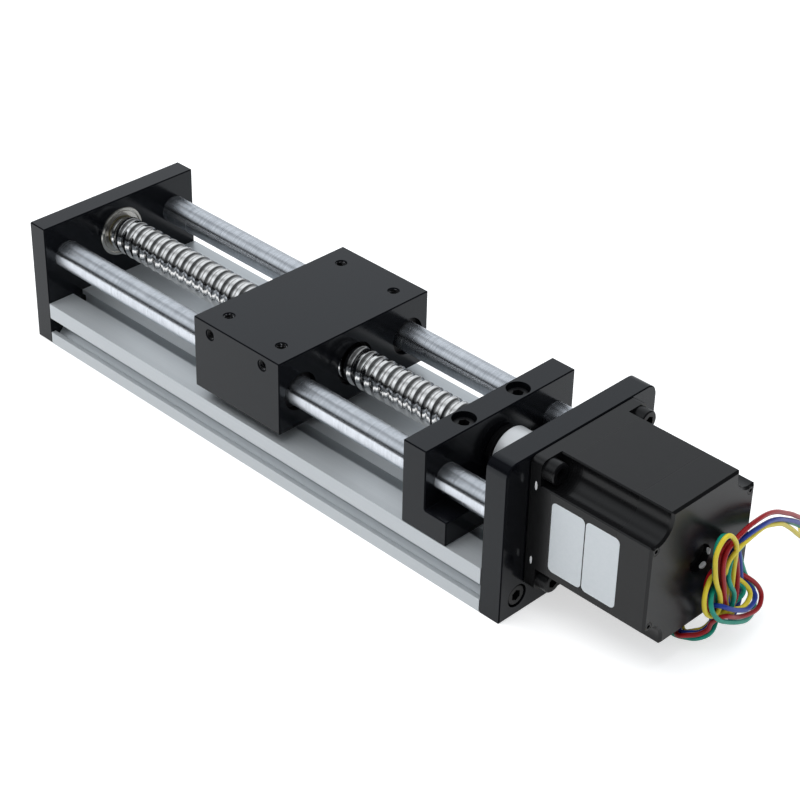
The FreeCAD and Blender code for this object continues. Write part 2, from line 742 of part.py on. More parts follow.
def carriage_fittings():
    for side, offset in zip(("front", "rear"), both_sides(SHAFT_SIDE)):
        for end, start in (("idle_end", "bush_setback"),
                           ("motor_end", "carriage_length - carriage_face_wall - bush_length")):
            ring(f"{side}_bush_{end}", "bush_length", "shaft_radius + running_gap", "bush_radius",
                 f"{CARRIAGE_START} + {start}", offset)
    start = "retainer_thickness"
    long = f"carriage_length - carriage_face_wall - {start}"
    bore = "screw_radius + screw_gap"
    turned("ball_nut", [
        ("0", "wiper_radius + seat_gap"), ("wiper_width", "wiper_radius + seat_gap"),
        ("wiper_width", bore), (f"{long} - wiper_width", bore),
        (f"{long} - wiper_width", "wiper_radius + seat_gap"), (long, "wiper_radius + seat_gap"),
        (long, "nut_radius - edge_break"), (f"{long} - edge_break", "nut_radius"),
        ("edge_break", "nut_radius"), ("0", "nut_radius - edge_break")],
        f"{CARRIAGE_START} + {start}")
    wiper_bore = "screw_radius + running_gap"
    ring("nut_wiper_idle_end", "wiper_width", wiper_bore, "wiper_radius",
         f"{CARRIAGE_START} + {start}")
    ring("nut_wiper_motor_end", "wiper_width", wiper_bore, "wiper_radius",
         f"{CARRIAGE_START} + carriage_length - carriage_face_wall - wiper_width")
    plate = new_body("nut_retainer")
    sketch = sketch_on(plate, "x")
    draw_outline(sketch, rectangle("-retainer_width / 2", "retainer_width / 2",
                                   "axis_height - retainer_height / 2",
                                   "axis_height + retainer_height / 2"))
    pad(plate, sketch, "retainer_thickness")
    drill(plate, "x", "0", [("0", "axis_height", "screw_window_radius")], None, True)
    places = []
    for offset in both_sides("retainer_screw_offset"):
        for sign in "+-":
            height = f"axis_height {sign} retainer_screw_rise"
            drill(plate, "x", "0", [(offset, height, "three_radius + seat_gap")], None, True)
            drill(plate, "x", "0", [(offset, height, "three_head_radius + seat_gap")],
                  "three_head_height", True)
            places.append((f"{CARRIAGE_START} + three_head_height", offset, height))
    place(plate, CARRIAGE_START)
    screw_set("nut_retainer_screws", places, "three_radius", "retainer_screw_length",
              "three_head_radius", "three_head_height", AGAINST_X)


# Stepping motor: two end bells and a stator with scalloped corners
def scallops(body, station, depth=None):
    """A round hollow along each of the four long edges, so that the mounting screws go in."""
    places = [(a, f"axis_height + {b}", "scallop_radius")
              for a in both_sides("scallop_offset") for b in both_sides("scallop_offset")]
    return drill(body, "x", station, places, depth, True)


def scallop_edges(body):
    """A small chamfer where the hollows meet the flat sides."""
    reach = value_of("motor_square / 2 + scallop_offset - scallop_radius") - 1
    middle = value_of("axis_height")
    return break_edges(
        body, body.Tip, "scallop_edge",
        lambda a, b: abs(a.x - b.x) > 3 and abs(a.y - b.y) < NEAR and abs(a.z - b.z) < NEAR
        and reach < abs(a.y) + abs(a.z - middle) < reach + 3)


def motor_blank(name, length):
    """A square block of the motor's section, from its own X = 0."""
    body = new_body(name)
    sketch = sketch_on(body, "x")
    draw_outline(sketch, rectangle("-motor_square / 2", "motor_square / 2",
                                   "axis_height - motor_square / 2",
                                   "axis_height + motor_square / 2"))
    pad(body, sketch, length)
    return body


TIE_PLACES = [(a, f"axis_height + {b}") for a in both_sides("tie_side_offset")
              for b in both_sides("tie_height_offset")]


def motor_front_bell():
    body = motor_blank("motor_front_bell", "front_bell_length")
    scallops(body, "motor_flange_thickness")
    block = scallop_edges(body)
    corner = body.newObject("PartDesign::Fillet", "FlangeCorner")
    far = value_of("motor_square") - 1
    middle = value_of("axis_height")
    corner.Base = (block, edges_of(
        block.Shape, lambda a, b: abs(a.x - b.x) > 1 and abs(a.y) + abs(a.z - middle) > far))
    bind(corner, "Radius", "flange_corner")
    doc.recompute()
    break_edges(body, corner, "flange_bevel", lambda a, b: max(a.x, b.x) < NEAR)
    pilot = sketch_on(body, "x", "-pilot_height")
    draw_round(pilot, "0", "axis_height", "pilot_radius")
    pad(body, pilot, "pilot_height")
    inside = "front_bell_length - front_cavity_depth"
    drill(body, "x", "front_bell_length", [("0", "axis_height", "bell_cavity_radius")],
          "front_cavity_depth")
    drill(body, "x", inside, [("0", "axis_height", "motor_bearing_radius + seat_gap")],
          "motor_bearing_width")
    drill(body, "x", inside, [("0", "axis_height", "motor_shaft_radius + bell_bore_gap")])
    for side in both_sides("motor_bolt_offset"):
        drill(body, "x", "0", [(side, f"axis_height + {side}", "five_clear_radius"),
                               (side, f"axis_height - ({side})", "five_clear_radius")],
              None, True)
    drill(body, "x", "front_bell_length",
          [(a, b, "tie_radius + seat_gap * 2") for a, b in TIE_PLACES],
          "tie_grip + tip_clearance / 2")
    place(body, MOTOR_START)


STATOR_LENGTH = "motor_length - front_bell_length - rear_bell_length"


def motor_stator():
    body = motor_blank("motor_stator", STATOR_LENGTH)
    scallops(body, "0")
    scallop_edges(body)
    drill(body, "x", "0", [("0", "axis_height", "stator_bore_radius")], None, True)
    drill(body, "x", "0", [(a, b, "tie_radius + seat_gap * 2") for a, b in TIE_PLACES],
          None, True)
    place(body, f"{MOTOR_START} + front_bell_length")


def motor_rear_bell():
    body = motor_blank("motor_rear_bell", "rear_bell_length")
    scallops(body, "0")
    back = value_of("rear_bell_length")
    break_edges(body, body.Tip, "rear_bevel", lambda a, b: min(a.x, b.x) > back - NEAR)
    scallop_edges(body)
    drill(body, "x", "0", [("0", "axis_height", "bell_cavity_radius")], "rear_cavity_depth", True)
    drill(body, "x", "rear_cavity_depth",
          [("0", "axis_height", "motor_bearing_radius + seat_gap")], "motor_bearing_width", True)
    drill(body, "x", "rear_cavity_depth", [("0", "axis_height", "rear_window_radius")],
          None, True)
    drill(body, "x", "rear_bell_length",
          [(a, b, "tie_radius + seat_gap * 2") for a, b in TIE_PLACES])
    drill(body, "x", "rear_bell_length",
          [(a, b, "tie_head_radius + seat_gap * 2") for a, b in TIE_PLACES], "tie_head_height")
    slot = sketch_on(body, "z", "axis_height - motor_square / 2")
    across = "rear_bell_length - grommet_setback"
    draw_outline(slot, rectangle(
        f"{across} - grommet_width / 2", f"{across} + grommet_width / 2",
        "-grommet_length / 2", "grommet_length / 2"))
    cut(body, slot, "grommet_depth", True)
    place(body, f"{MOTOR_START} + motor_length - rear_bell_length")


def motor_inside():
    ring("motor_front_bearing", "motor_bearing_width", "motor_shaft_radius + running_gap",
         "motor_bearing_radius",
         f"{MOTOR_START} + front_bell_length - front_cavity_depth - motor_bearing_width")
    ring("motor_rear_bearing", "motor_bearing_width", "motor_shaft_radius + running_gap",
         "motor_bearing_radius", f"{MOTOR_START} + motor_length - rear_bell_length + rear_cavity_depth")
    shaft_end = "motor_length - rear_bell_length + rear_cavity_depth + motor_bearing_width"
    turned("motor_shaft", [
        ("-motor_shaft_reach", "0"), (shaft_end, "0"), (shaft_end, "motor_shaft_radius"),
        ("edge_break - motor_shaft_reach", "motor_shaft_radius"),
        ("-motor_shaft_reach", "motor_shaft_radius - edge_break")], MOTOR_START)
    ring("motor_rotor", f"{STATOR_LENGTH} - 2 * rotor_end_gap", "motor_shaft_radius + seat_gap",
         "rotor_radius", f"{MOTOR_START} + front_bell_length + rotor_end_gap")
    ring("motor_winding_front", "front_cavity_depth - end_gap",
         "winding_radius - winding_wall", "winding_radius",
         f"{MOTOR_START} + front_bell_length - front_cavity_depth + end_gap")
    ring("motor_winding_rear", "rear_cavity_depth - end_gap",
         "winding_radius - winding_wall", "winding_radius",
         f"{MOTOR_START} + motor_length - rear_bell_length")


def motor_fasteners():
    places = [(f"{MOTOR_START} + motor_flange_thickness", a, f"axis_height + {b}")
              for a in both_sides("motor_bolt_offset") for b in both_sides("motor_bolt_offset")]
    screw_set("motor_mounting_screws", places, "five_radius", "motor_screw_length",
              "five_head_radius", "five_head_height", ALONG_X)
    ties = [(f"{MOTOR_START} + motor_length - tie_head_height", a, b) for a, b in TIE_PLACES]
    screw_set("motor_tie_screws", ties, "tie_radius",
              "motor_length - front_bell_length - tie_head_height + tie_grip",
              "tie_head_radius", "tie_head_height", ALONG_X)


def plate_fasteners():
    sunk = "five_head_height + head_clearance"
    length = f"thread_depth - tip_clearance + end_plate_thickness - ({sunk})"
    screw_set("idle_plate_screws",
              [(f"{IDLE_FACE} + {sunk}", y, "core_bore_height")
               for y in both_sides(CORE_SIDE)],
              "five_radius", length, "five_head_radius", "five_head_height", AGAINST_X)
    length = f"thread_depth - tip_clearance + motor_plate_thickness - ({sunk})"
    screw_set("motor_plate_screws",
              [(f"{MOTOR_START} - ({sunk})", y, "core_bore_height")
               for y in both_sides(CORE_SIDE)],
              "five_radius", length, "five_head_radius", "five_head_height", ALONG_X)
    low_sunk = "low_head_height + end_gap"
    length = (f"thread_depth - 2 * tip_clearance + end_plate_thickness - ({low_sunk})"
              " - idle_shaft_seat")
    screw_set("shaft_end_screws",
              [(f"{IDLE_FACE} + {low_sunk}", y, "axis_height")
               for y in both_sides(SHAFT_SIDE)],
              "five_radius", length, "five_head_radius", "low_head_height", AGAINST_X)
    screw_set("bearing_block_screws",
              [(f"{BLOCK_START} + block_thickness / 2", y,
                f"{BLOCK_TOP} - block_sink_depth")
               for y in both_sides("block_screw_spacing / 2")],
              "five_radius", BLOCK_SCREW_LENGTH, "five_head_radius", "five_head_height")


def stickers():
    """Two bare white stickers with round corners on the front side of the motor."""
    for name, shift in (("sticker_left", "0"), ("sticker_right", "sticker_pitch")):
        body = new_body(name)
        sketch = sketch_on(body, "y", "motor_square / 2")
        draw_outline(sketch, rectangle("0", "sticker_width", "axis_height - sticker_height / 2",
                                       "axis_height + sticker_height / 2"))
        card = pad(body, sketch, "sticker_thickness")
        rounded = body.newObject("PartDesign::Fillet", name + "Corner")
        rounded.Base = (card, edges_of(card.Shape, lambda a, b: abs(a.y - b.y) > 0.05))
        bind(rounded, "Radius", "sticker_corner")
        doc.recompute()
        place(body, f"{MOTOR_START} + sticker_station + {shift}")


# Motor leads: four insulated wires that leave a grommet, tie one loose knot and run off
def lead_grommet():
    body = new_body("lead_grommet")
    gap = "seat_gap * 3"
    for grow, low, high in ((f"-({gap})", "0", f"grommet_depth - {gap}"),
                            ("grommet_lip", "-grommet_lip_height", "grommet_lip_height")):
        sketch = sketch_on(body, "z", low)
        draw_outline(sketch, rectangle(
            f"-grommet_width / 2 - ({grow})", f"grommet_width / 2 + {grow}",
            f"-grommet_length / 2 - ({grow})", f"grommet_length / 2 + {grow}"))
        pad(body, sketch, high)
    place(body, f"{MOTOR_START} + motor_length - grommet_setback", "0", "axis_height - motor_square / 2")


def rounded_path(points):
    """Straight runs joined by tangent arcs, each as large as its two runs allow."""
    points = [FreeCAD.Vector(*p) for p in points]
    edges = []
    radii = []
    start = points[0]
    for before, corner, after in zip(points, points[1:], points[2:]):
        back = before - corner
        ahead = after - corner
        turn = math.pi - back.getAngle(ahead)
        run = 0.45 * min(back.Length, ahead.Length)
        radii.append(round(run / math.tan(turn / 2), 1))
        back.normalize()
        ahead.normalize()
        leave = corner + back * run
        join = corner + ahead * run
        middle = (back + ahead).normalize()
        centre_distance = run / math.cos(back.getAngle(middle))
        radius = run * math.tan(back.getAngle(middle))
        edges.append(Part.LineSegment(start, leave).toShape())
        edges.append(Part.Arc(leave, corner + middle * (centre_distance - radius), join).toShape())
        start = join
    edges.append(Part.LineSegment(start, points[-1]).toShape())
    return Part.Wire(edges), radii


def tube(name, points):
    """A round tube along a route; its volume is compared with section times length."""
    path, radii = rounded_path(points)
    radius = value_of("lead_radius")
    heading = FreeCAD.Vector(*points[1]) - FreeCAD.Vector(*points[0])
    section = Part.Wire([Part.makeCircle(radius, FreeCAD.Vector(*points[0]), heading)])
    solid = path.makePipeShell([section], True, False)
    expected = math.pi * radius ** 2 * path.Length
    print(name, "radii", radii, "length", round(path.Length, 1),
          "volume ratio", round(solid.Volume / expected, 4))
    piece = doc.addObject("Part::Feature", name)
    piece.Shape = solid
    node(piece, name)


# Each stop of a route is the middle of the ribbon of leads and the step from one lead to the
# next, measured from the back of the motor, the middle of the width and the standing face.
ROOT_ROUTE = [
    ((-7.0, 0.0, 10.3), (0.0, 2.1, 0.0)),
    ((-7.0, 0.0, 7.0), (0.0, 2.1, 0.0)),
    ((-4.6, 0.5, 4.0), (-0.4, 2.1, 0.0)),
    ((-0.6, 2.2, 3.6), (-1.1, 1.8, 0.1)),
    ((2.8, 5.6, 4.6), (-1.5, 1.2, 0.9)),
    ((5.0, 10.0, 7.3), (-1.5, 0.5, 1.3)),
]
TAIL_ROUTE = [
    ((7.6, 5.2, 33.5), (-0.3, -2.0, 0.6)),
    ((7.0, 6.6, 39.0), (-0.2, -1.7, 1.2)),
    ((5.8, 11.6, 42.6), (-0.1, -0.9, 1.9)),
    ((4.4, 19.5, 43.0), (-0.1, -0.1, 2.1)),
    ((2.4, 29.5, 41.0), (0.0, 0.4, 2.1)),
    ((0.2, 40.5, 37.0), (0.1, 0.8, 2.2)),
    ((-1.8, 50.5, 31.5), (0.1, 1.2, 2.3)),
    ((-3.9, 61.0, 23.8), (0.3, 1.6, 2.2)),
    ((-6.0, 71.0, 15.6), (0.7, 1.7, 1.9)),
    ((-8.4, 79.5, 9.4), (1.3, 1.5, 1.2)),
    ((-11.6, 87.5, 5.6), (1.8, 1.2, 0.5)),
    ((-16.0, 95.0, 4.0), (1.9, 1.1, 0.1)),
    ((-22.0, 102.0, 3.4), (1.5, 1.6, 0.0)),
]
ROOT_ORDER = ("yellow", "blue", "red", "green")
TAIL_ORDER = ("yellow", "green", "blue", "red")
KNOT_LEAN = (0.941, -0.333, -0.056)


def leads():
    back = value_of(f"{MOTOR_START} + motor_length")
    for part, route, order in (("root", ROOT_ROUTE, ROOT_ORDER), ("tail", TAIL_ROUTE, TAIL_ORDER)):
        for rank, colour in enumerate(order):
            step = rank - 1.5 if part == "tail" else 1.5 - rank
            points = [[back * (axis == 0) + m + step * s for axis, (m, s) in enumerate(zip(mid, side))]
                      for mid, side in route]
            tube(f"lead_{colour}_{part}", points)


def lead_knot():
    """The loose knot as one closed solid: a leaning ring and an upright loop that meet."""
    back = f"{MOTOR_START} + motor_length"
    lean = FreeCAD.Rotation(FreeCAD.Vector(0, 0, 1), FreeCAD.Vector(*KNOT_LEAN))
    rounds = []
    for name, radius, spare in (("KnotRim", "knot_radius", 0), ("KnotEye", "knot_eye_radius", 1)):
        disc = doc.addObject("Part::Cylinder", name)
        bind(disc, "Radius", radius)
        bind(disc, "Height", f"knot_thickness + {2 * spare}")
        half = f"(knot_thickness / 2 + {spare})"
        disc.Placement = FreeCAD.Placement(FreeCAD.Vector(), lean)
        bind(disc, ".Placement.Base.x", f"{back} + knot_standoff - {KNOT_LEAN[0]} * {half}")
        bind(disc, ".Placement.Base.y", f"knot_shift - ({KNOT_LEAN[1]}) * {half}")
        bind(disc, ".Placement.Base.z", f"knot_height - ({KNOT_LEAN[2]}) * {half}")
        rounds.append(disc)
    ring_solid = doc.addObject("Part::Cut", "KnotRing")
    ring_solid.Base, ring_solid.Tool = rounds
    loop = []
    for name, height in (("KnotLoopFoot", "loop_low"), ("KnotLoopTop", "loop_high")):
        end = doc.addObject("Part::Cylinder", name)
        bind(end, "Radius", "loop_width / 2")
        bind(end, "Height", "knot_thickness")
        loop.append(place(end, f"{back} + loop_standoff - knot_thickness / 2", "loop_shift",
                          height, ALONG_X))
    middle = doc.addObject("Part::Box", "KnotLoopMiddle")
    bind(middle, "Length", "knot_thickness")
    bind(middle, "Width", "loop_width")
    bind(middle, "Height", "loop_high - loop_low")
    loop.append(place(middle, f"{back} + loop_standoff - knot_thickness / 2",
                      "loop_shift - loop_width / 2", "loop_low"))
    whole = doc.addObject("Part::MultiFuse", "lead_knot")
    whole.Shapes = [ring_solid] + loop
    whole.Refine = True
    node(whole, "lead_knot")


base_profile()
idle_end_plate()
motor_plate()
guide_shafts()
ball_screw()
screw_hardware()
coupling()
bearing_block()
carriage_block()
carriage_fittings()
motor_front_bell()
motor_stator()
motor_rear_bell()
motor_inside()
motor_fasteners()
plate_fasteners()
stickers()
lead_grommet()
leads()
lead_knot()
doc.recompute()

faults = [f"{o.Label}: {o.State}" for o in doc.Objects
          if "Invalid" in o.State or "Error" in o.State]
faults += [f"{o.Label}: no valid shape" for o in NODES if o.Shape.isNull() or not o.Shape.isValid()]
if faults:
    raise ValueError("; ".join(faults))
for piece in NODES:
    piece.Shape.exportStep(f"parts/{piece.Label}.step")
print(len(NODES), "nodes written")
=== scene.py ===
import bpy
import math
import numpy as np
from mathutils import Matrix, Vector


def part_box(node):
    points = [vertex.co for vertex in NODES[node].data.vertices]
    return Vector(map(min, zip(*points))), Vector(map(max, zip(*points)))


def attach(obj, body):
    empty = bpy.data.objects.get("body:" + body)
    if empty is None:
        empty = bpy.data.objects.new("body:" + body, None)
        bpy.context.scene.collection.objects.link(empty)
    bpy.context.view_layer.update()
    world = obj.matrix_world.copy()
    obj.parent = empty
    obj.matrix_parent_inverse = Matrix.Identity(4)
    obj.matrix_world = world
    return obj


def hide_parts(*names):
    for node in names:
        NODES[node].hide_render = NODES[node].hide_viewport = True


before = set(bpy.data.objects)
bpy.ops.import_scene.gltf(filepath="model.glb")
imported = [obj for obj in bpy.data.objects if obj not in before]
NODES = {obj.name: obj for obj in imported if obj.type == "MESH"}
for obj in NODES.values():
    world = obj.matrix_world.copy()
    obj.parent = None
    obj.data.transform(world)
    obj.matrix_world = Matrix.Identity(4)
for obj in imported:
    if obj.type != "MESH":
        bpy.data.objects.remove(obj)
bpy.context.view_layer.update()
MM = 0.001

# Ball screw linear module. Millimetres are turned to metres by MM. +X runs from the idle end to
# the motor, the side with the stickers faces -Y, and Z = 0 is the surface it stands on.
AXIS_Z = 39.5
MOTOR_BACK = 162.25

# Painted highlights on the motor's bells: glints painted near-white, each as a middle and half sizes:
# two on the bare wall of the window in the back, and two on paint chips on the front edge of the flange.
WINDOW_GLINTS = (
    ((MOTOR_BACK - 0.5, 2.75, 34.75), (1.0, 1.7, 1.3)),
    ((MOTOR_BACK - 0.6, 5.4, 39.6), (0.9, 0.5, 1.6)),
)
FLANGE_CHIP_GLINTS = (
    ((110.5, -28.2, 57.0), (0.55, 1.0, 1.9)),
    ((110.3, -28.2, 24.6), (0.5, 1.0, 1.7)),
)
# A surface counts as a chamfer where no part of its normal is longer than this.
FLAT_NORMAL = 0.9
# Specular level of anodised black: on its faces, and on its filed chamfers.
FACE_GLOSS = 0.29
CHAMFER_GLOSS = 0.03


# Materials

def linear(code):
    """sRGB hex to linear RGBA: each channel c becomes ((c + 0.055) / 1.055) ** 2.4 above the toe."""
    c = np.array([int(code[i:i + 2], 16) for i in (1, 3, 5)]) / 255
    rgb = np.where(c <= 0.04045, c / 12.92, ((c + 0.055) / 1.055) ** 2.4)
    return (*rgb, 1.0)


def add(tree, kind, links=(), **settings):
    """Adds a shader node. Settings name its properties or, as in_NAME, its inputs; links are
    (input, output socket) pairs."""
    new = tree.nodes.new(kind)
    for key, value in settings.items():
        if key.startswith("in_"):
            name = key[3:]
            new.inputs[int(name) if name.isdigit() else name.replace("_", " ")].default_value = value
        else:
            setattr(new, key, value)
    for socket, source in links:
        tree.links.new(source, new.inputs[socket])
    return new


def finish_of(name, base, metallic, roughness, **more):
    """A material with one Principled shader: returns the material, its tree and that shader."""
    material = bpy.data.materials.new(name)
    material.use_nodes = True
    tree = material.node_tree
    shader = tree.nodes["Principled BSDF"]
    shader.inputs["Base Color"].default_value = linear(base)
    shader.inputs["Metallic"].default_value = metallic
    shader.inputs["Roughness"].default_value = roughness
    for key, value in more.items():
        shader.inputs[key.replace("_", " ")].default_value = value
    return material, tree, shader


def streaks(tree, scale, detail=3.0):
    """Noise on Object coordinates stretched by scale (cycles per metre along X, Y, Z)."""
    place = add(tree, "ShaderNodeTexCoord")
    stretch = add(tree, "ShaderNodeMapping", [("Vector", place.outputs["Object"])], in_Scale=scale)
    return add(tree, "ShaderNodeTexNoise", [("Vector", stretch.outputs["Vector"])],
               in_Scale=1.0, in_Detail=detail, in_Roughness=0.6)


def spread(tree, source, low, high):
    """Maps a 0..1 pattern to the range low..high."""
    return add(tree, "ShaderNodeMapRange", [("Value", source)], in_3=low, in_4=high)


def relief(tree, shader, source, depth):
    """Bump of a pattern, depth in metres, on a shader's normal."""
    bump = add(tree, "ShaderNodeBump", [("Height", source)], in_Strength=1.0, in_Distance=depth)
    tree.links.new(bump.outputs["Normal"], shader.inputs["Normal"])


def tinted(tree, shader, source, dark, light):
    """Base colour that wanders between two hex colours with a pattern."""
    mix = add(tree, "ShaderNodeMix", [(0, source)], data_type="RGBA",
              in_6=linear(dark), in_7=linear(light))
    tree.links.new(mix.outputs[2], shader.inputs["Base Color"])


def roughened(tree, shader, source, low, high):
    """Roughness that wanders between two values with a pattern."""
    tree.links.new(spread(tree, source, low, high).outputs[0], shader.inputs["Roughness"])


def filed_edges(tree):
    """1 on the chamfers of a block, where the normal's largest part is under FLAT_NORMAL, else 0."""
    geometry = add(tree, "ShaderNodeNewGeometry")
    size = add(tree, "ShaderNodeVectorMath", [(0, geometry.outputs["True Normal"])], operation="ABSOLUTE")
    parts = add(tree, "ShaderNodeSeparateXYZ", [("Vector", size.outputs[0])])
    low = add(tree, "ShaderNodeMath", [(0, parts.outputs["X"]), (1, parts.outputs["Y"])],
              operation="MAXIMUM")
    top = add(tree, "ShaderNodeMath", [(0, low.outputs[0]), (1, parts.outputs["Z"])],
              operation="MAXIMUM")
    return add(tree, "ShaderNodeMath", [(0, top.outputs[0])], operation="LESS_THAN",
               in_1=FLAT_NORMAL)


def black_anodised_aluminium():
    # 6061 plate, milled and black anodised: an even blue-black with a satin gloss that blurs what
    # it mirrors, a faint bead-blast grain of about 0.15 mm, and filed edges that stay matt.
    material, tree, shader = finish_of("black_anodised_milled", "#0c0d10", 0.0, 0.16,
                                       Specular_Tint=(0.90, 0.95, 1.0, 1.0))
    grain = streaks(tree, (6500, 6500, 6500), 2.0)
    tinted(tree, shader, grain.outputs[0], "#0b0c0f", "#0f1014")
    roughened(tree, shader, streaks(tree, (55, 55, 55)).outputs[0], 0.12, 0.20)
    relief(tree, shader, grain.outputs[0], 0.0000015)
    gloss = spread(tree, filed_edges(tree).outputs[0], FACE_GLOSS, CHAMFER_GLOSS)
    tree.links.new(gloss.outputs[0], shader.inputs["Specular IOR Level"])
    return material


def clear_anodised_extrusion():
    # 6063 profile, pressed through a die and clear anodised: satin silver with die lines along X,
    # drawn about 0.4 mm apart so that they show.
    material, tree, shader = finish_of("clear_anodised_extrusion", "#cacfd2", 0.5, 0.40)
    lines = streaks(tree, (6, 2600, 2600), 4.0)
    tinted(tree, shader, lines.outputs[0], "#c4c9cc", "#d4d8db")
    roughened(tree, shader, lines.outputs[0], 0.30, 0.44)
    relief(tree, shader, lines.outputs[0], 0.000004)
    return material


def hard_chromed_shaft():
    # Bearing steel, ground, hard chromed and polished: a soft bluish mirror, with fine grinding
    # rings that spread its mirror along X only, and a trace of oil in patches of 3 to 6 mm.
    material, tree, shader = finish_of("hard_chromed_shaft", "#b3bac3", 1.0, 0.25,
                                       Anisotropic=1.0, Anisotropic_Rotation=0.25)
    rings = streaks(tree, (1500, 60, 60), 3.0)
    patch = streaks(tree, (170, 330, 330), 5.0)
    blend = add(tree, "ShaderNodeMath", [(0, rings.outputs[0]), (1, patch.outputs[0])],
                operation="MULTIPLY")
    tinted(tree, shader, blend.outputs[0], "#f2f6fc", "#7d858f")
    roughened(tree, shader, rings.outputs[0], 0.22, 0.30)
    turn = add(tree, "ShaderNodeTangent", direction_type="RADIAL", axis="X")
    tree.links.new(turn.outputs[0], shader.inputs["Tangent"])
    return material


def rolled_screw_steel():
    # Induction-hardened steel, thread rolled and polished: bright with slight wander in gloss.
    material, tree, shader = finish_of("rolled_screw_steel", "#bebcb9", 1.0, 0.15)
    wander = streaks(tree, (500, 500, 500), 4.0)
    tinted(tree, shader, wander.outputs[0], "#ffffff", "#c9c7c4")
    roughened(tree, shader, wander.outputs[0], 0.08, 0.16)
    return material


def ground_bearing_steel():
    # Chrome steel, ground all over: bright rings with fine turning marks.
    material, tree, shader = finish_of("ground_bearing_steel", "#e4e1da", 1.0, 0.22)
    marks = streaks(tree, (300, 4000, 4000), 2.0)
    roughened(tree, shader, marks.outputs[0], 0.16, 0.30)
    return material


def black_oxide_steel():
    # Alloy steel screws, blackened in hot salts: near black with a thin oily gloss.
    material, tree, shader = finish_of("black_oxide_steel", "#0b0b0c", 0.0, 0.3,
                                       Specular_IOR_Level=0.3)
    patch = streaks(tree, (1500, 1500, 1500), 3.0)
    tinted(tree, shader, patch.outputs[0], "#09090a", "#101012")
    roughened(tree, shader, patch.outputs[0], 0.24, 0.42)
    return material


def turned_aluminium():
    # Coupling sleeve, turned and clear anodised: pale satin silver with tool rings round X,
    # drawn 0.5 mm apart.
    material, tree, shader = finish_of("turned_aluminium", "#d6d8da", 0.45, 0.40)
    rings = streaks(tree, (2000, 40, 40), 2.0)
    roughened(tree, shader, rings.outputs[0], 0.34, 0.46)
    relief(tree, shader, rings.outputs[0], 0.000003)
    return material


def near(tree, middle, reach):
    """1 inside a ball or an oval of half sizes reach round middle (millimetres), else 0."""
    place = add(tree, "ShaderNodeTexCoord")
    away = add(tree, "ShaderNodeVectorMath", [(0, place.outputs["Object"])], operation="SUBTRACT",
               in_1=tuple(m * MM for m in middle))
    share = add(tree, "ShaderNodeVectorMath", [(0, away.outputs[0])], operation="MULTIPLY",
                in_1=tuple(1 / (r * MM) for r in reach))
    size = add(tree, "ShaderNodeVectorMath", [(0, share.outputs[0])], operation="LENGTH")
    return add(tree, "ShaderNodeMath", [(0, size.outputs["Value"])], operation="LESS_THAN", in_1=1.0)


def either(tree, first, second):
    """1 where either of two 0 or 1 patterns is 1."""
    return add(tree, "ShaderNodeMath", [(0, first.outputs[0]), (1, second.outputs[0])],
               operation="MAXIMUM")


def painted_bell():
    # Die-cast aluminium end bell, sprayed black: glossy lacquer over a faintly uneven casting,
    # with painted highlights: near-white glints painted on two paint chips on the flange's front
    # edge and on two spots of the window's machined wall in its back. The rest of that wall keeps
    # the black paint as painted shade, so the window looks dark inside.
    material, tree, shader = finish_of("painted_cast_bell", "#0d0d0e", 0.0, 0.30,
                                       Specular_IOR_Level=0.33)
    skin = streaks(tree, (400, 400, 400), 3.0)
    tinted(tree, shader, skin.outputs[0], "#0c0c0d", "#111112")
    relief(tree, shader, skin.outputs[0], 0.000003)
    # Masks of the painted glints: two on the window's wall, two on the flange's chips.
    window_wall_glint = either(tree, *(near(tree, *spot) for spot in WINDOW_GLINTS))
    chip_glint = either(tree, *(near(tree, *spot) for spot in FLANGE_CHIP_GLINTS))
    bare = either(tree, window_wall_glint, chip_glint)
    paint = shader.inputs["Base Color"].links[0].from_socket
    # Painted highlights: near-white over the black paint inside the glint masks.
    mix = add(tree, "ShaderNodeMix", [(0, bare.outputs[0]), (6, paint)], data_type="RGBA",
              in_7=linear("#fbfbfa"))
    tree.links.new(mix.outputs[2], shader.inputs["Base Color"])
    # The painted glints in the window are made a little metallic.
    tree.links.new(spread(tree, window_wall_glint.outputs[0], 0.0, 0.3).outputs[0], shader.inputs["Metallic"])
    roughened(tree, shader, skin.outputs[0], 0.26, 0.34)
    return material


def painted_laminations():
    # Stack of 0.5 mm silicon-steel laminations under black lacquer: fine lines across X, drawn
    # 1 mm apart so that they show.
    material, tree, shader = finish_of("painted_laminations", "#0d0d0e", 0.0, 0.22,
                                       Specular_IOR_Level=0.29)
    place = add(tree, "ShaderNodeTexCoord")
    lines = add(tree, "ShaderNodeTexWave", [("Vector", place.outputs["Object"])],
                bands_direction="X", in_Scale=314.0, in_Distortion=0.6, in_Detail=1.0)
    tinted(tree, shader, lines.outputs["Fac"], "#0c0c0d", "#131314")
    relief(tree, shader, lines.outputs["Fac"], 0.000004)
    roughened(tree, shader, streaks(tree, (300, 300, 300)).outputs[0], 0.16, 0.28)
    return material


def winding_copper():
    # Enamelled copper wire, wound: 0.6 mm turns.
    material, tree, shader = finish_of("enamelled_copper", "#9a5a2c", 0.9, 0.3)
    turns = streaks(tree, (1700, 300, 300), 2.0)
    relief(tree, shader, turns.outputs[0], 0.0001)
    return material


def moulded_polymer(name, colour, roughness):
    # Injection-moulded plastic or rubber with a fine spark-eroded grain of about 0.2 mm.
    material, tree, shader = finish_of(name, colour, 0.0, roughness)
    relief(tree, shader, streaks(tree, (5000, 5000, 5000), 2.0).outputs[0], 0.000005)
    return material


def label_film():
    # White polyester sticker, bare: an even cool white with a slight satin sheen.
    material, tree, shader = finish_of("label_film_bare", "#e4e9ec", 0.0, 0.38)
    fibre = streaks(tree, (900, 900, 900), 3.0)
    tinted(tree, shader, fibre.outputs[0], "#dfe5e8", "#e9edf0")
    roughened(tree, shader, fibre.outputs[0], 0.33, 0.45)
    return material


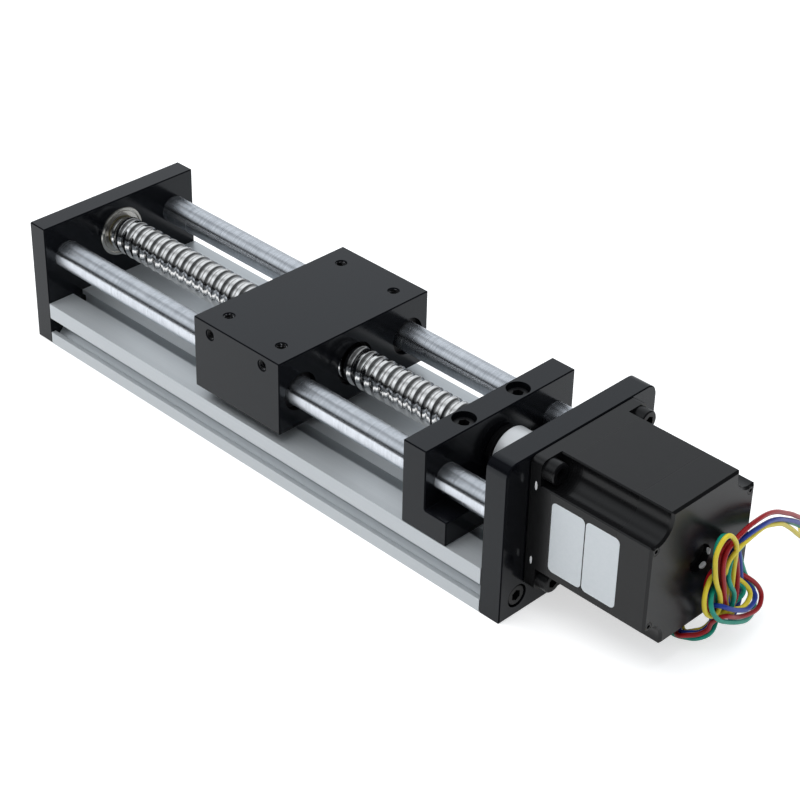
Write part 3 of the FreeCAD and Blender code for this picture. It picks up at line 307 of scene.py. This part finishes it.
def wire_insulation(name, dark, light):
    # PVC-insulated stranded wire: soft gloss, colour a little uneven along it, and a trace of
    # the strands underneath, drawn 0.4 mm apart.
    material, tree, shader = finish_of(name, light, 0.0, 0.36, Specular_IOR_Level=0.35)
    patch = streaks(tree, (260, 260, 260), 3.0)
    tinted(tree, shader, patch.outputs[0], dark, light)
    relief(tree, shader, streaks(tree, (2500, 2500, 2500), 1.0).outputs[0], 0.000008)
    return material


def thread_cut_after_anodising():
    # Threads tapped through the anodised skin: worn black, with bare metal in specks.
    material, tree, shader = finish_of("thread_tapped_aluminium", "#19191b", 0.2, 0.3)
    specks = streaks(tree, (1400, 1400, 1400), 3.0)
    bright = add(tree, "ShaderNodeMath", [(0, specks.outputs[0])], operation="GREATER_THAN", in_1=0.6)
    tinted(tree, shader, bright.outputs[0], "#0d0d0e", "#8f9094")
    return material


anodised_black = black_anodised_aluminium()
cut_thread = thread_cut_after_anodising()
extrusion = clear_anodised_extrusion()
chromed = hard_chromed_shaft()
screw_steel = rolled_screw_steel()
ring_steel = ground_bearing_steel()
oxide_black = black_oxide_steel()
sleeve_silver = turned_aluminium()
bell_paint = painted_bell()
stack_paint = painted_laminations()
copper = winding_copper()
wiper = moulded_polymer("wiper_polymer", "#1a1a1a", 0.5)
seal = moulded_polymer("bush_seal_rubber", "#0f0f10", 0.45)
cage = moulded_polymer("cage_polymer", "#c9bf9c", 0.45)
rubber = moulded_polymer("grommet_rubber", "#161616", 0.6)
film = label_film()
INSULATION = {
    "yellow": wire_insulation("insulation_yellow", "#dcc62a", "#f3df45"),
    "green": wire_insulation("insulation_green", "#0b8873", "#18a58d"),
    "blue": wire_insulation("insulation_blue", "#16308a", "#2347ad"),
    "red": wire_insulation("insulation_red", "#8f0d15", "#b0161f"),
}

DRESS = {
    anodised_black: "idle_end_plate motor_plate bearing_block carriage_block nut_retainer",
    extrusion: "base_profile",
    chromed: "guide_shaft_front guide_shaft_rear",
    screw_steel: "ball_screw ball_nut spacer_sleeve",
    ring_steel: "idle_bearing_outer_ring idle_bearing_inner_ring fixed_bearing_outer_ring "
                "fixed_bearing_inner_ring motor_front_bearing bearing_circlip journal_circlip",
    # The motor's rear bearing, in black rubber, is painted shade: it keeps the window in the motor's back
    # dark inside.
    seal: "motor_rear_bearing front_bush_idle_end front_bush_motor_end rear_bush_idle_end "
          "rear_bush_motor_end",
    cage: "idle_bearing_ball_cage fixed_bearing_ball_cage",
    # The motor's shaft, in black oxide, is painted shade: it keeps the window in the motor's back dark
    # inside.
    oxide_black: "bearing_block_screws idle_plate_screws motor_plate_screws shaft_end_screws "
                 "motor_mounting_screws motor_tie_screws lock_nut coupling_set_screws "
                 "nut_retainer_screws motor_shaft",
    sleeve_silver: "coupling",
    bell_paint: "motor_front_bell motor_rear_bell",
    stack_paint: "motor_stator motor_rotor",
    copper: "motor_winding_front motor_winding_rear",
    wiper: "nut_wiper_idle_end nut_wiper_motor_end",
    rubber: "lead_grommet",
    film: "sticker_left sticker_right",
}
for material, names in DRESS.items():
    for name in names.split():
        NODES[name].data.materials.clear()
        NODES[name].data.materials.append(material)


# Surfaces

def surface(name, material, points, body, close_u=False, close_v=False, smooth=True, replace=()):
    """A piece from a grid of points, shape (rows, columns, 3) in millimetres; rows or columns
    join up when closed. Faces run row by row, so they point outwards for a grid whose columns
    turn right-handed about the way the rows go."""
    rows, columns = points.shape[:2]
    index = np.arange(rows * columns).reshape(rows, columns)
    if close_u:
        index = np.vstack([index, index[:1]])
    if close_v:
        index = np.hstack([index, index[:, :1]])
    corners = [index[:-1, :-1], index[:-1, 1:], index[1:, 1:], index[1:, :-1]]
    faces = np.stack(corners, -1).reshape(-1, 4)
    mesh = bpy.data.meshes.new(name)
    mesh.from_pydata((points.reshape(-1, 3) * MM).tolist(), [], faces.tolist())
    mesh.polygons.foreach_set("use_smooth", np.full(len(faces), smooth))
    mesh.materials.append(material)
    mesh.update()
    piece = bpy.data.objects.new(name, mesh)
    bpy.context.scene.collection.objects.link(piece)
    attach(piece, body)
    if replace:
        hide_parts(*replace)
    return piece


# Ball screw: right-hand, with a ball track cut between flat lands, and journals turned in steps.
# Radii, and places along X, in millimetres.
LEAD = 5.0
CREST = 8.0
TRACK_RADIUS = 1.75
TRACK_HALF = 1.6
COLLAR = 6.0
JOURNAL = 5.0
DRIVE_END = 4.0
IDLE_SHOULDER = -152.15
THREAD_START = -151.65
THREAD_STOP = 56.75
FIXED_SHOULDER = 59.25
DRIVE_SHOULDER = 71.63
# A turned shoulder rises over the length SHOULDER. At either end of the thread its radius is at
# most RUN_OUT plus the distance from that end.
SHOULDER = 0.02
RUN_OUT = 6.2
CHAMFER = 0.3
POLE = 0.01
RINGS_A_LEAD = 26
SCREW_SIDES = 72
BEARING_SIDES = 96

# Tapped M5 holes of the carriage: the thread's pitch and radii, and where the holes are.
TAP_PITCH = 0.8
TAP_MIDDLE = 1.9
TAP_SWING = 0.15
TAP_OUTER = 2.09
TAP_LEAD_IN = 0.45
TAP_STOP = 0.1
TAP_ROWS = 48
TAP_SIDES = 28
CARRIAGE_MIDDLE = -33.25
CARRIAGE_TOP = 56.0
CARRIAGE_HALF = 40.0
HOLE_ALONG = 15.0
HOLE_ACROSS = 30.0
SIDE_HOLE_Z = 51.3
TOP_HOLE_DEPTH = 7.4
SIDE_HOLE_DEPTH = 6.9


def turned(profile, sides):
    """X and radius on a grid, from a lathe profile of (x, radius) pairs, with one column a side."""
    x, r = np.array(profile).T
    return np.repeat(x[:, None], sides, 1), np.repeat(r[:, None], sides, 1)


def about_axis(x, r, angle):
    """Points (x, -r sin angle, AXIS_Z + r cos angle), which go round the screw's axis."""
    return np.stack([x, -r * np.sin(angle), AXIS_Z + r * np.cos(angle)], -1)


def thread_radius(s):
    """Radius at a distance s from the middle of the ball track, in one lead: the track is an arc
    of TRACK_RADIUS, TRACK_HALF wide either side, and the land between tracks is flat."""
    s = np.abs((s + LEAD / 2) % LEAD - LEAD / 2)
    arc = np.sqrt(TRACK_RADIUS ** 2 - np.minimum(s, TRACK_HALF) ** 2)
    return CREST - (arc - math.sqrt(TRACK_RADIUS ** 2 - TRACK_HALF ** 2))


def threaded_rod():
    """The rod's radius at (x, angle): the thread profile at x - LEAD * angle / turn, or the taper
    of an end of the thread where that is smaller. The journals are turned steps."""
    low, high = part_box("ball_screw")
    idle_end, drive_end = low.x / MM, high.x / MM
    rings = np.arange(THREAD_START, THREAD_STOP, LEAD / RINGS_A_LEAD)
    angle = np.linspace(0, 2 * np.pi, SCREW_SIDES, endpoint=False)
    body_x, body_a = np.meshgrid(rings, angle, indexing="ij")
    radius = thread_radius(body_x - LEAD * body_a / (2 * np.pi))
    taper = np.minimum(body_x - THREAD_START, THREAD_STOP - body_x) + RUN_OUT
    radius = np.minimum(radius, taper)
    first_x, first_r = turned([
        (idle_end, POLE), (idle_end, JOURNAL - CHAMFER), (idle_end + CHAMFER, JOURNAL),
        (IDLE_SHOULDER - SHOULDER, JOURNAL), (IDLE_SHOULDER, COLLAR), (THREAD_START, COLLAR),
    ], SCREW_SIDES)
    last_x, last_r = turned([
        (THREAD_STOP, COLLAR), (FIXED_SHOULDER, COLLAR), (FIXED_SHOULDER + SHOULDER, JOURNAL),
        (DRIVE_SHOULDER, JOURNAL), (DRIVE_SHOULDER + SHOULDER, DRIVE_END),
        (drive_end - CHAMFER, DRIVE_END), (drive_end, DRIVE_END - CHAMFER), (drive_end, POLE),
    ], SCREW_SIDES)
    x = np.concatenate([first_x, body_x, last_x])
    r = np.concatenate([first_r, radius, last_r])
    points = about_axis(x, r, angle)
    return surface("threaded_rod", screw_steel, points[::-1], "drive_line", close_v=True,
                   replace=("ball_screw",))


def bearing_face():
    """The outer ring of the idle bearing as a closed lathe about the screw's axis: ground ring,
    groove for the shield's edge, and the shield that leaves a gap to the inner ring."""
    low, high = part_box("idle_bearing_outer_ring")
    back, front = low.x / MM, high.x / MM
    ring = [(back, 10.8), (back + 0.3, 11.0), (front - 0.3, 11.0), (front, 10.7), (front, 9.8)]
    groove = [(front - 0.7, 9.7), (front - 0.7, 9.35)]
    shield = [(front - 0.3, 9.25), (front - 0.25, 7.4), (front - 0.7, 7.25)]
    bore = [(front - 0.9, 9.2), (back + 0.9, 9.2), (back, 9.4)]
    x, r = turned(ring + groove + shield + bore, BEARING_SIDES)
    angle = np.linspace(0, 2 * np.pi, BEARING_SIDES, endpoint=False)
    points = about_axis(x, r, angle)
    return surface("bearing_face", ring_steel, points[::-1], "frame", close_u=True, close_v=True,
                   smooth=False, replace=("idle_bearing_outer_ring",))


def tapped_thread(name, middle, inward, depth):
    """Thread inside a tapped hole as a closed sleeve: the inner radius is TAP_MIDDLE plus
    TAP_SWING times the cosine of a wave of one pitch, shifted by one pitch in a turn, and the
    outer radius is TAP_OUTER."""
    inward = np.array(inward, float)
    side = np.array([1.0, 0.0, 0.0])
    other = np.cross(inward, side)
    along, angle = np.meshgrid(np.linspace(TAP_LEAD_IN, depth - TAP_STOP, TAP_ROWS),
                               np.linspace(0, 2 * np.pi, TAP_SIDES, endpoint=False), indexing="ij")
    radius = TAP_MIDDLE + TAP_SWING * np.cos(2 * np.pi * along / TAP_PITCH - angle)
    along = np.concatenate([along, along[::-1][:1], along[:1]])
    angle = np.concatenate([angle, angle[:1], angle[:1]])
    radius = np.concatenate([radius, np.full((2, TAP_SIDES), TAP_OUTER)])
    points = (np.array(middle) + along[..., None] * inward + radius[..., None]
              * (np.cos(angle)[..., None] * side + np.sin(angle)[..., None] * other))
    return surface(name, cut_thread, points, "carriage", close_u=True, close_v=True)


threaded_rod()
bearing_face()
HOLES = [(CARRIAGE_MIDDLE + along, across) for along in (-HOLE_ALONG, HOLE_ALONG) for across in (-1, 1)]
for number, (x, across) in enumerate(HOLES):
    tapped_thread(f"top_tapping_{number}", (x, across * HOLE_ACROSS, CARRIAGE_TOP), (0, 0, -1),
                  TOP_HOLE_DEPTH)
    tapped_thread(f"side_tapping_{number}", (x, across * CARRIAGE_HALF, SIDE_HOLE_Z),
                  (0, -across, 0), SIDE_HOLE_DEPTH)


# Motor leads

# Each lead's route in millimetres from the back of the motor, the middle of the width and the
# standing face. The four leave the grommet, and run off at the end, as a flat ribbon: a stop is
# the ribbon's middle and the step from one lead to the next.
LEAD_RADIUS = 0.9
ROOT = [
    ((-7.0, 0.0, 10.3), (0.0, 2.1, 0.0)),
    ((-7.0, 0.0, 6.9), (0.0, 2.1, 0.0)),
]
TAIL = [
    ((-8.4, 79.5, 9.4), (1.3, 1.5, 1.2)),
    ((-11.6, 87.5, 5.6), (1.8, 1.2, 0.5)),
    ((-16.0, 95.0, 4.0), (1.9, 1.1, 0.1)),
    ((-22.0, 102.0, 3.4), (1.5, 1.6, 0.0)),
]
ROOT_ORDER = ("yellow", "blue", "red", "green")
TAIL_ORDER = ("yellow", "green", "blue", "red")


def ribbon(route, step):
    """The points of one lead in a flat ribbon of leads: middle plus step times side."""
    return [tuple(m + step * s for m, s in zip(mid, side)) for mid, side in route]


# Between root and tail each lead goes once round the leaning ring, up and over the loop, down
# behind the ring and up again through it. Each point is given to half a millimetre.
KNOT = {
    "yellow": [
        (-5.5, 2.0, 4.5), (-3.0, 0.5, 4.5), (-0.5, 1.5, 6.0), (1.5, 5.0, 6.0), (2.5, 8.0, 8.5),
        (3.5, 8.0, 12.0), (6.0, 6.0, 15.5), (9.0, 7.0, 17.0), (9.5, 10.0, 17.0), (9.5, 16.5, 14.0),
        (8.0, 22.5, 15.0), (6.5, 23.0, 17.5), (3.5, 20.0, 22.0), (3.5, 13.5, 26.5), (3.5, 7.0, 31.0),
        (5.5, 0.0, 35.0), (7.5, -6.0, 30.0), (8.0, -4.5, 21.5), (8.5, 1.0, 18.0), (8.5, 3.5, 21.0),
        (8.5, 2.5, 27.0), (9.0, -1.5, 34.0), (9.5, -4.0, 41.5), (9.5, -5.0, 49.5), (9.0, 1.5, 54.5),
        (9.0, 7.5, 48.0), (7.5, 10.5, 41.0), (6.0, 12.5, 33.5), (5.5, 13.5, 25.5), (4.0, 16.0, 18.0),
        (4.0, 17.5, 12.0), (6.5, 15.0, 10.5), (6.5, 12.5, 12.0), (5.5, 10.5, 17.5), (6.5, 9.5, 25.5),
        (6.5, 6.5, 33.5), (7.5, 6.5, 39.0), (8.0, 9.5, 42.0), (7.0, 15.5, 42.0), (6.0, 23.0, 41.5),
        (4.5, 30.5, 40.0), (3.5, 38.0, 36.5), (2.5, 44.5, 33.0), (1.0, 50.5, 28.0), (0.0, 56.5, 22.5),
        (-1.0, 61.5, 17.5), (-2.0, 67.5, 12.0),
    ],
    "red": [
        (-4.5, -2.5, 5.0), (-2.5, -4.5, 6.0), (0.5, -3.5, 7.5), (3.5, -1.0, 8.0), (5.5, 2.5, 9.5),
        (6.5, 1.5, 13.5), (8.5, 1.0, 16.5), (10.5, 2.5, 18.5), (11.0, 6.0, 17.0), (10.0, 11.0, 13.0),
        (10.0, 18.0, 10.0), (9.5, 26.5, 8.0), (7.5, 30.5, 11.0), (6.0, 29.0, 15.5), (4.0, 25.0, 20.0),
        (1.5, 19.5, 24.5), (2.5, 13.0, 29.5), (3.0, 6.5, 34.5), (4.5, -1.0, 34.0), (6.0, -3.0, 26.5),
        (6.0, 0.0, 18.0), (7.5, 5.5, 20.0), (7.0, 4.5, 28.5), (7.0, 2.5, 36.0), (6.5, 2.0, 45.0),
        (5.5, 9.5, 45.5), (4.0, 14.5, 38.5), (4.5, 16.5, 31.0), (4.5, 18.0, 23.5), (6.0, 16.5, 15.0),
        (7.0, 10.0, 15.0), (8.5, 5.5, 22.5), (9.0, 3.5, 30.0), (9.0, 1.5, 37.5), (8.5, 2.0, 45.0),
        (6.5, 11.0, 46.0), (6.0, 18.5, 47.0), (5.0, 26.5, 46.0), (3.5, 34.0, 43.5), (2.5, 41.0, 40.0),
        (1.5, 47.5, 35.5), (0.5, 53.5, 31.5), (-0.5, 59.0, 27.0), (-2.0, 65.5, 22.0),
    ],
    "blue": [
        (-4.5, -0.5, 5.0), (-2.5, -2.0, 6.0), (0.0, -1.0, 7.0), (2.5, 2.5, 6.5), (3.5, 6.0, 8.5),
        (4.0, 6.0, 12.0), (4.5, 3.0, 17.0), (6.0, 0.5, 22.0), (10.0, 1.5, 23.5), (11.0, 5.5, 20.5),
        (11.0, 10.5, 17.0), (10.5, 17.5, 13.0), (9.0, 24.0, 12.5), (7.5, 26.0, 14.5), (2.5, 24.5, 18.5),
        (1.0, 18.0, 22.0), (2.0, 10.0, 24.0), (3.0, 4.0, 24.0), (4.0, 3.0, 19.5), (5.0, 7.0, 17.5),
        (6.5, 9.5, 21.5), (5.5, 6.5, 25.0), (5.5, 5.0, 31.0), (5.5, 3.5, 37.0), (5.0, 2.5, 43.0),
        (4.0, 10.5, 45.0), (4.0, 16.0, 39.5), (4.0, 18.5, 32.0), (3.5, 21.0, 24.0), (3.5, 22.5, 16.5),
        (3.0, 23.0, 7.5), (4.5, 16.5, 5.0), (6.0, 13.0, 12.5), (4.5, 12.0, 20.0), (5.0, 10.0, 28.0),
        (5.5, 8.0, 35.5), (6.0, 12.5, 42.5), (6.5, 19.5, 44.0), (5.5, 27.5, 42.5), (4.0, 35.0, 40.0),
        (3.0, 42.0, 36.5), (1.5, 48.5, 32.0), (0.5, 54.5, 28.0), (-0.5, 60.0, 24.0), (-2.0, 66.5, 18.5),
    ],
    "green": [
        (-6.5, -3.0, 4.5), (-4.5, -2.0, 3.5), (-1.0, -1.5, 4.5), (3.0, -0.5, 5.5), (7.0, 3.0, 8.5),
        (3.0, 10.5, 10.5), (5.5, 16.5, 14.0), (6.5, 21.0, 17.0), (4.0, 20.5, 20.0), (2.5, 15.0, 22.5),
        (3.5, 8.5, 26.0), (6.0, 1.0, 29.5), (9.5, -4.5, 26.0), (10.5, -0.5, 18.5), (10.5, 6.0, 14.0),
        (10.5, 13.0, 10.0), (9.5, 20.0, 6.5), (6.5, 28.0, 4.5), (4.0, 31.0, 10.5), (2.5, 26.5, 18.0),
        (2.5, 23.0, 25.0), (2.5, 20.0, 32.5), (2.0, 16.5, 39.5), (3.5, 11.5, 45.0), (5.5, 6.0, 49.0),
        (6.5, 2.0, 51.5), (7.5, -2.0, 50.0), (8.0, -2.5, 45.0), (7.5, -1.5, 39.0), (7.5, 0.0, 34.0),
        (7.0, 3.0, 26.5), (6.5, 4.5, 21.5), (6.0, 6.5, 16.0), (8.5, 10.0, 15.5), (9.0, 11.0, 23.0),
        (8.5, 7.5, 28.5), (7.5, 7.0, 33.0), (5.0, 12.0, 37.5), (6.5, 15.0, 40.0), (4.5, 21.0, 41.0),
        (3.5, 28.5, 39.0), (2.0, 36.0, 37.0), (1.0, 43.0, 34.0), (0.0, 50.0, 30.0), (-1.5, 56.0, 25.5),
        (-2.5, 61.5, 21.5), (-3.0, 67.5, 16.5),
    ],
}


def lead(colour):
    """One wire as a smooth NURBS spline, which its root, knot and tail points control."""
    half = (len(ROOT_ORDER) - 1) / 2
    points = ribbon(ROOT, half - ROOT_ORDER.index(colour))
    points += KNOT[colour]
    points += ribbon(TAIL, TAIL_ORDER.index(colour) - half)
    curve = bpy.data.curves.new(f"lead_{colour}", "CURVE")
    curve.dimensions = "3D"
    spline = curve.splines.new("NURBS")
    spline.points.add(len(points) - 1)
    for spot, (x, y, z) in zip(spline.points, points):
        spot.co = ((MOTOR_BACK + x) * MM, y * MM, z * MM, 1.0)
    spline.order_u = 3
    spline.use_endpoint_u = True
    curve.resolution_u = 8
    curve.bevel_depth = LEAD_RADIUS * MM
    curve.bevel_resolution = 4
    curve.use_fill_caps = True
    curve.materials.append(INSULATION[colour])
    piece = bpy.data.objects.new(f"lead_{colour}", curve)
    bpy.context.scene.collection.objects.link(piece)
    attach(piece, "frame")
    return piece, points


for colour in ROOT_ORDER:
    piece, points = lead(colour)
    nodes = [f"lead_{colour}_root", f"lead_{colour}_tail"]
    if colour == "red":
        nodes.append("lead_knot")
    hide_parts(*nodes)
    x, y, z = points[0]


# Floor, light and camera

# Brightness of the studio round the object's long axis, by degrees from straight up towards the
# front: one soft box behind and above, one in front and above, a gap between them and a dark band
# in front at the horizon.
SOFT_BOXES = (
    (-135, 0.25), (-95, 0.42), (-65, 0.82), (-45, 0.92), (-10, 0.90), (0, 0.55), (5, 0.50), (30, 0.98),
    (40, 0.95), (55, 0.72), (70, 0.06), (90, 0.03), (95, 0.50),
)
# How much of it a mirror sees, by the direction's part along X.
ALONG = (
    (-1.0, 0.30), (-0.7, 1.05), (-0.45, 1.05), (-0.1, 0.30), (0.1, 0.45), (0.25, 0.10), (1.0, 0.08),
)
COOL = (0.95, 0.99, 1.03)
# The floor's own light as the camera sees it, and as a glossy surface mirrors it.
FLOOR_HALF = 6.0
FLOOR_LIFT = 0.58
FLOOR_MIRRORED = 0.34
# The lamp, in watts, metres and degrees.
LAMP_POWER = 17.0
LAMP_SIZE = (1.6, 1.2)
LAMP_PLACE = (-0.4, -0.6, 1.4)
LAMP_TILT = {"Y": -16, "X": -22}
# The photograph's camera: millimetres for the lens and sensor, metres for its place, and the
# directions of its right, up and back.
LENS = 99.194
SENSOR = 36.0
CAMERA_RIGHT = (0.70572555, 0.70820565, 0.01990477)
CAMERA_UP = (-0.40233266, 0.37748203, 0.83404781)
CAMERA_BACK = (0.58316368, -0.59661719, 0.55133298)
CAMERA_PLACE = (0.50998, -0.50526, 0.50114)


def shades(tree, source, stops):
    """Colour ramp on a 0..1 value from (position, colour) stops in rising order."""
    ramp = add(tree, "ShaderNodeValToRGB", [("Fac", source)])
    elements = ramp.color_ramp.elements
    elements.remove(elements[-1])
    elements[0].position = stops[0][0]
    elements[0].color = (*stops[0][1], 1)
    for position, colour in stops[1:]:
        elements.new(position).color = (*colour, 1)
    return ramp


def studio():
    """A white floor, the soft boxes of the surroundings, and one lamp that casts the shadow."""
    floor_mesh = bpy.data.meshes.new("floor")
    corners = [(x * FLOOR_HALF, y * FLOOR_HALF, 0) for x, y in ((-1, -1), (1, -1), (1, 1), (-1, 1))]
    floor_mesh.from_pydata(corners, [], [(0, 1, 2, 3)])
    floor = bpy.data.objects.new("floor", floor_mesh)
    bpy.context.scene.collection.objects.link(floor)
    paper, tree, shader = finish_of("studio_paper", "#d8d8d8", 0.0, 0.9)
    rays = add(tree, "ShaderNodeLightPath")
    mirrored = add(tree, "ShaderNodeMath", [(0, rays.outputs["Is Glossy Ray"])], operation="MULTIPLY",
                   in_1=FLOOR_MIRRORED)
    lift = add(tree, "ShaderNodeMath", [(0, rays.outputs["Is Camera Ray"]), (2, mirrored.outputs[0])],
               operation="MULTIPLY_ADD", in_1=FLOOR_LIFT)
    shader.inputs["Emission Color"].default_value = (1, 1, 1, 1)
    tree.links.new(lift.outputs[0], shader.inputs["Emission Strength"])
    floor_mesh.materials.append(paper)

    world = bpy.data.worlds.new("studio")
    bpy.context.scene.world = world
    world.use_nodes = True
    tree = world.node_tree
    sky = tree.nodes["Background"]
    place = add(tree, "ShaderNodeTexCoord")
    split = add(tree, "ShaderNodeSeparateXYZ", [("Vector", place.outputs["Generated"])])
    front = add(tree, "ShaderNodeMath", [(0, split.outputs["Y"])], operation="MULTIPLY", in_1=-1.0)
    roll = add(tree, "ShaderNodeMath", [(0, front.outputs[0]), (1, split.outputs["Z"])],
               operation="ARCTAN2")
    turn = add(tree, "ShaderNodeMapRange", [("Value", roll.outputs[0])], in_1=-math.pi, in_2=math.pi)
    round_axis = [((degrees + 180) / 360, [level * c for c in COOL]) for degrees, level in SOFT_BOXES]
    ramp = shades(tree, turn.outputs[0], round_axis)
    rays = add(tree, "ShaderNodeLightPath")
    reach = add(tree, "ShaderNodeMapRange", [("Value", split.outputs["X"])], in_1=-1.0, in_2=1.0)
    fall = shades(tree, reach.outputs[0], [((part + 1) / 2, [level] * 3) for part, level in ALONG])
    held = add(tree, "ShaderNodeMix", [(0, rays.outputs["Is Glossy Ray"]), (3, fall.outputs[0])],
               in_2=1.0)
    lit = add(tree, "ShaderNodeVectorMath", [(0, ramp.outputs[0]), ("Scale", held.outputs[0])],
              operation="SCALE")
    mix = add(tree, "ShaderNodeMix", [(0, rays.outputs["Is Camera Ray"]), (6, lit.outputs[0])],
              data_type="RGBA", in_7=(1, 1, 1, 1))
    tree.links.new(mix.outputs[2], sky.inputs["Color"])
    sky.inputs["Strength"].default_value = 1.0

    box = bpy.data.lights.new("overhead_box", "AREA")
    box.energy = LAMP_POWER
    box.shape = "RECTANGLE"
    box.size, box.size_y = LAMP_SIZE
    lamp = bpy.data.objects.new("overhead_box", box)
    tilts = [Matrix.Rotation(math.radians(angle), 4, axis) for axis, angle in LAMP_TILT.items()]
    lamp.matrix_world = Matrix.Translation(LAMP_PLACE) @ tilts[0] @ tilts[1]
    lamp.visible_glossy = False
    bpy.context.scene.collection.objects.link(lamp)


studio()


def camera():
    """The photograph's camera, solved from the object's straight edges: a 99 mm lens on a 36 mm
    sensor, 44 degrees round from the front and 33 degrees up."""
    data = bpy.data.cameras.new("photo_camera")
    data.lens = LENS
    data.sensor_width = SENSOR
    view = bpy.data.objects.new("photo_camera", data)
    columns = (CAMERA_RIGHT, CAMERA_UP, CAMERA_BACK, CAMERA_PLACE)
    view.matrix_world = Matrix([*zip(*columns), (0, 0, 0, 1)])
    bpy.context.scene.collection.objects.link(view)
    bpy.context.scene.camera = view


camera()
bpy.context.scene.view_settings.view_transform = "Standard"
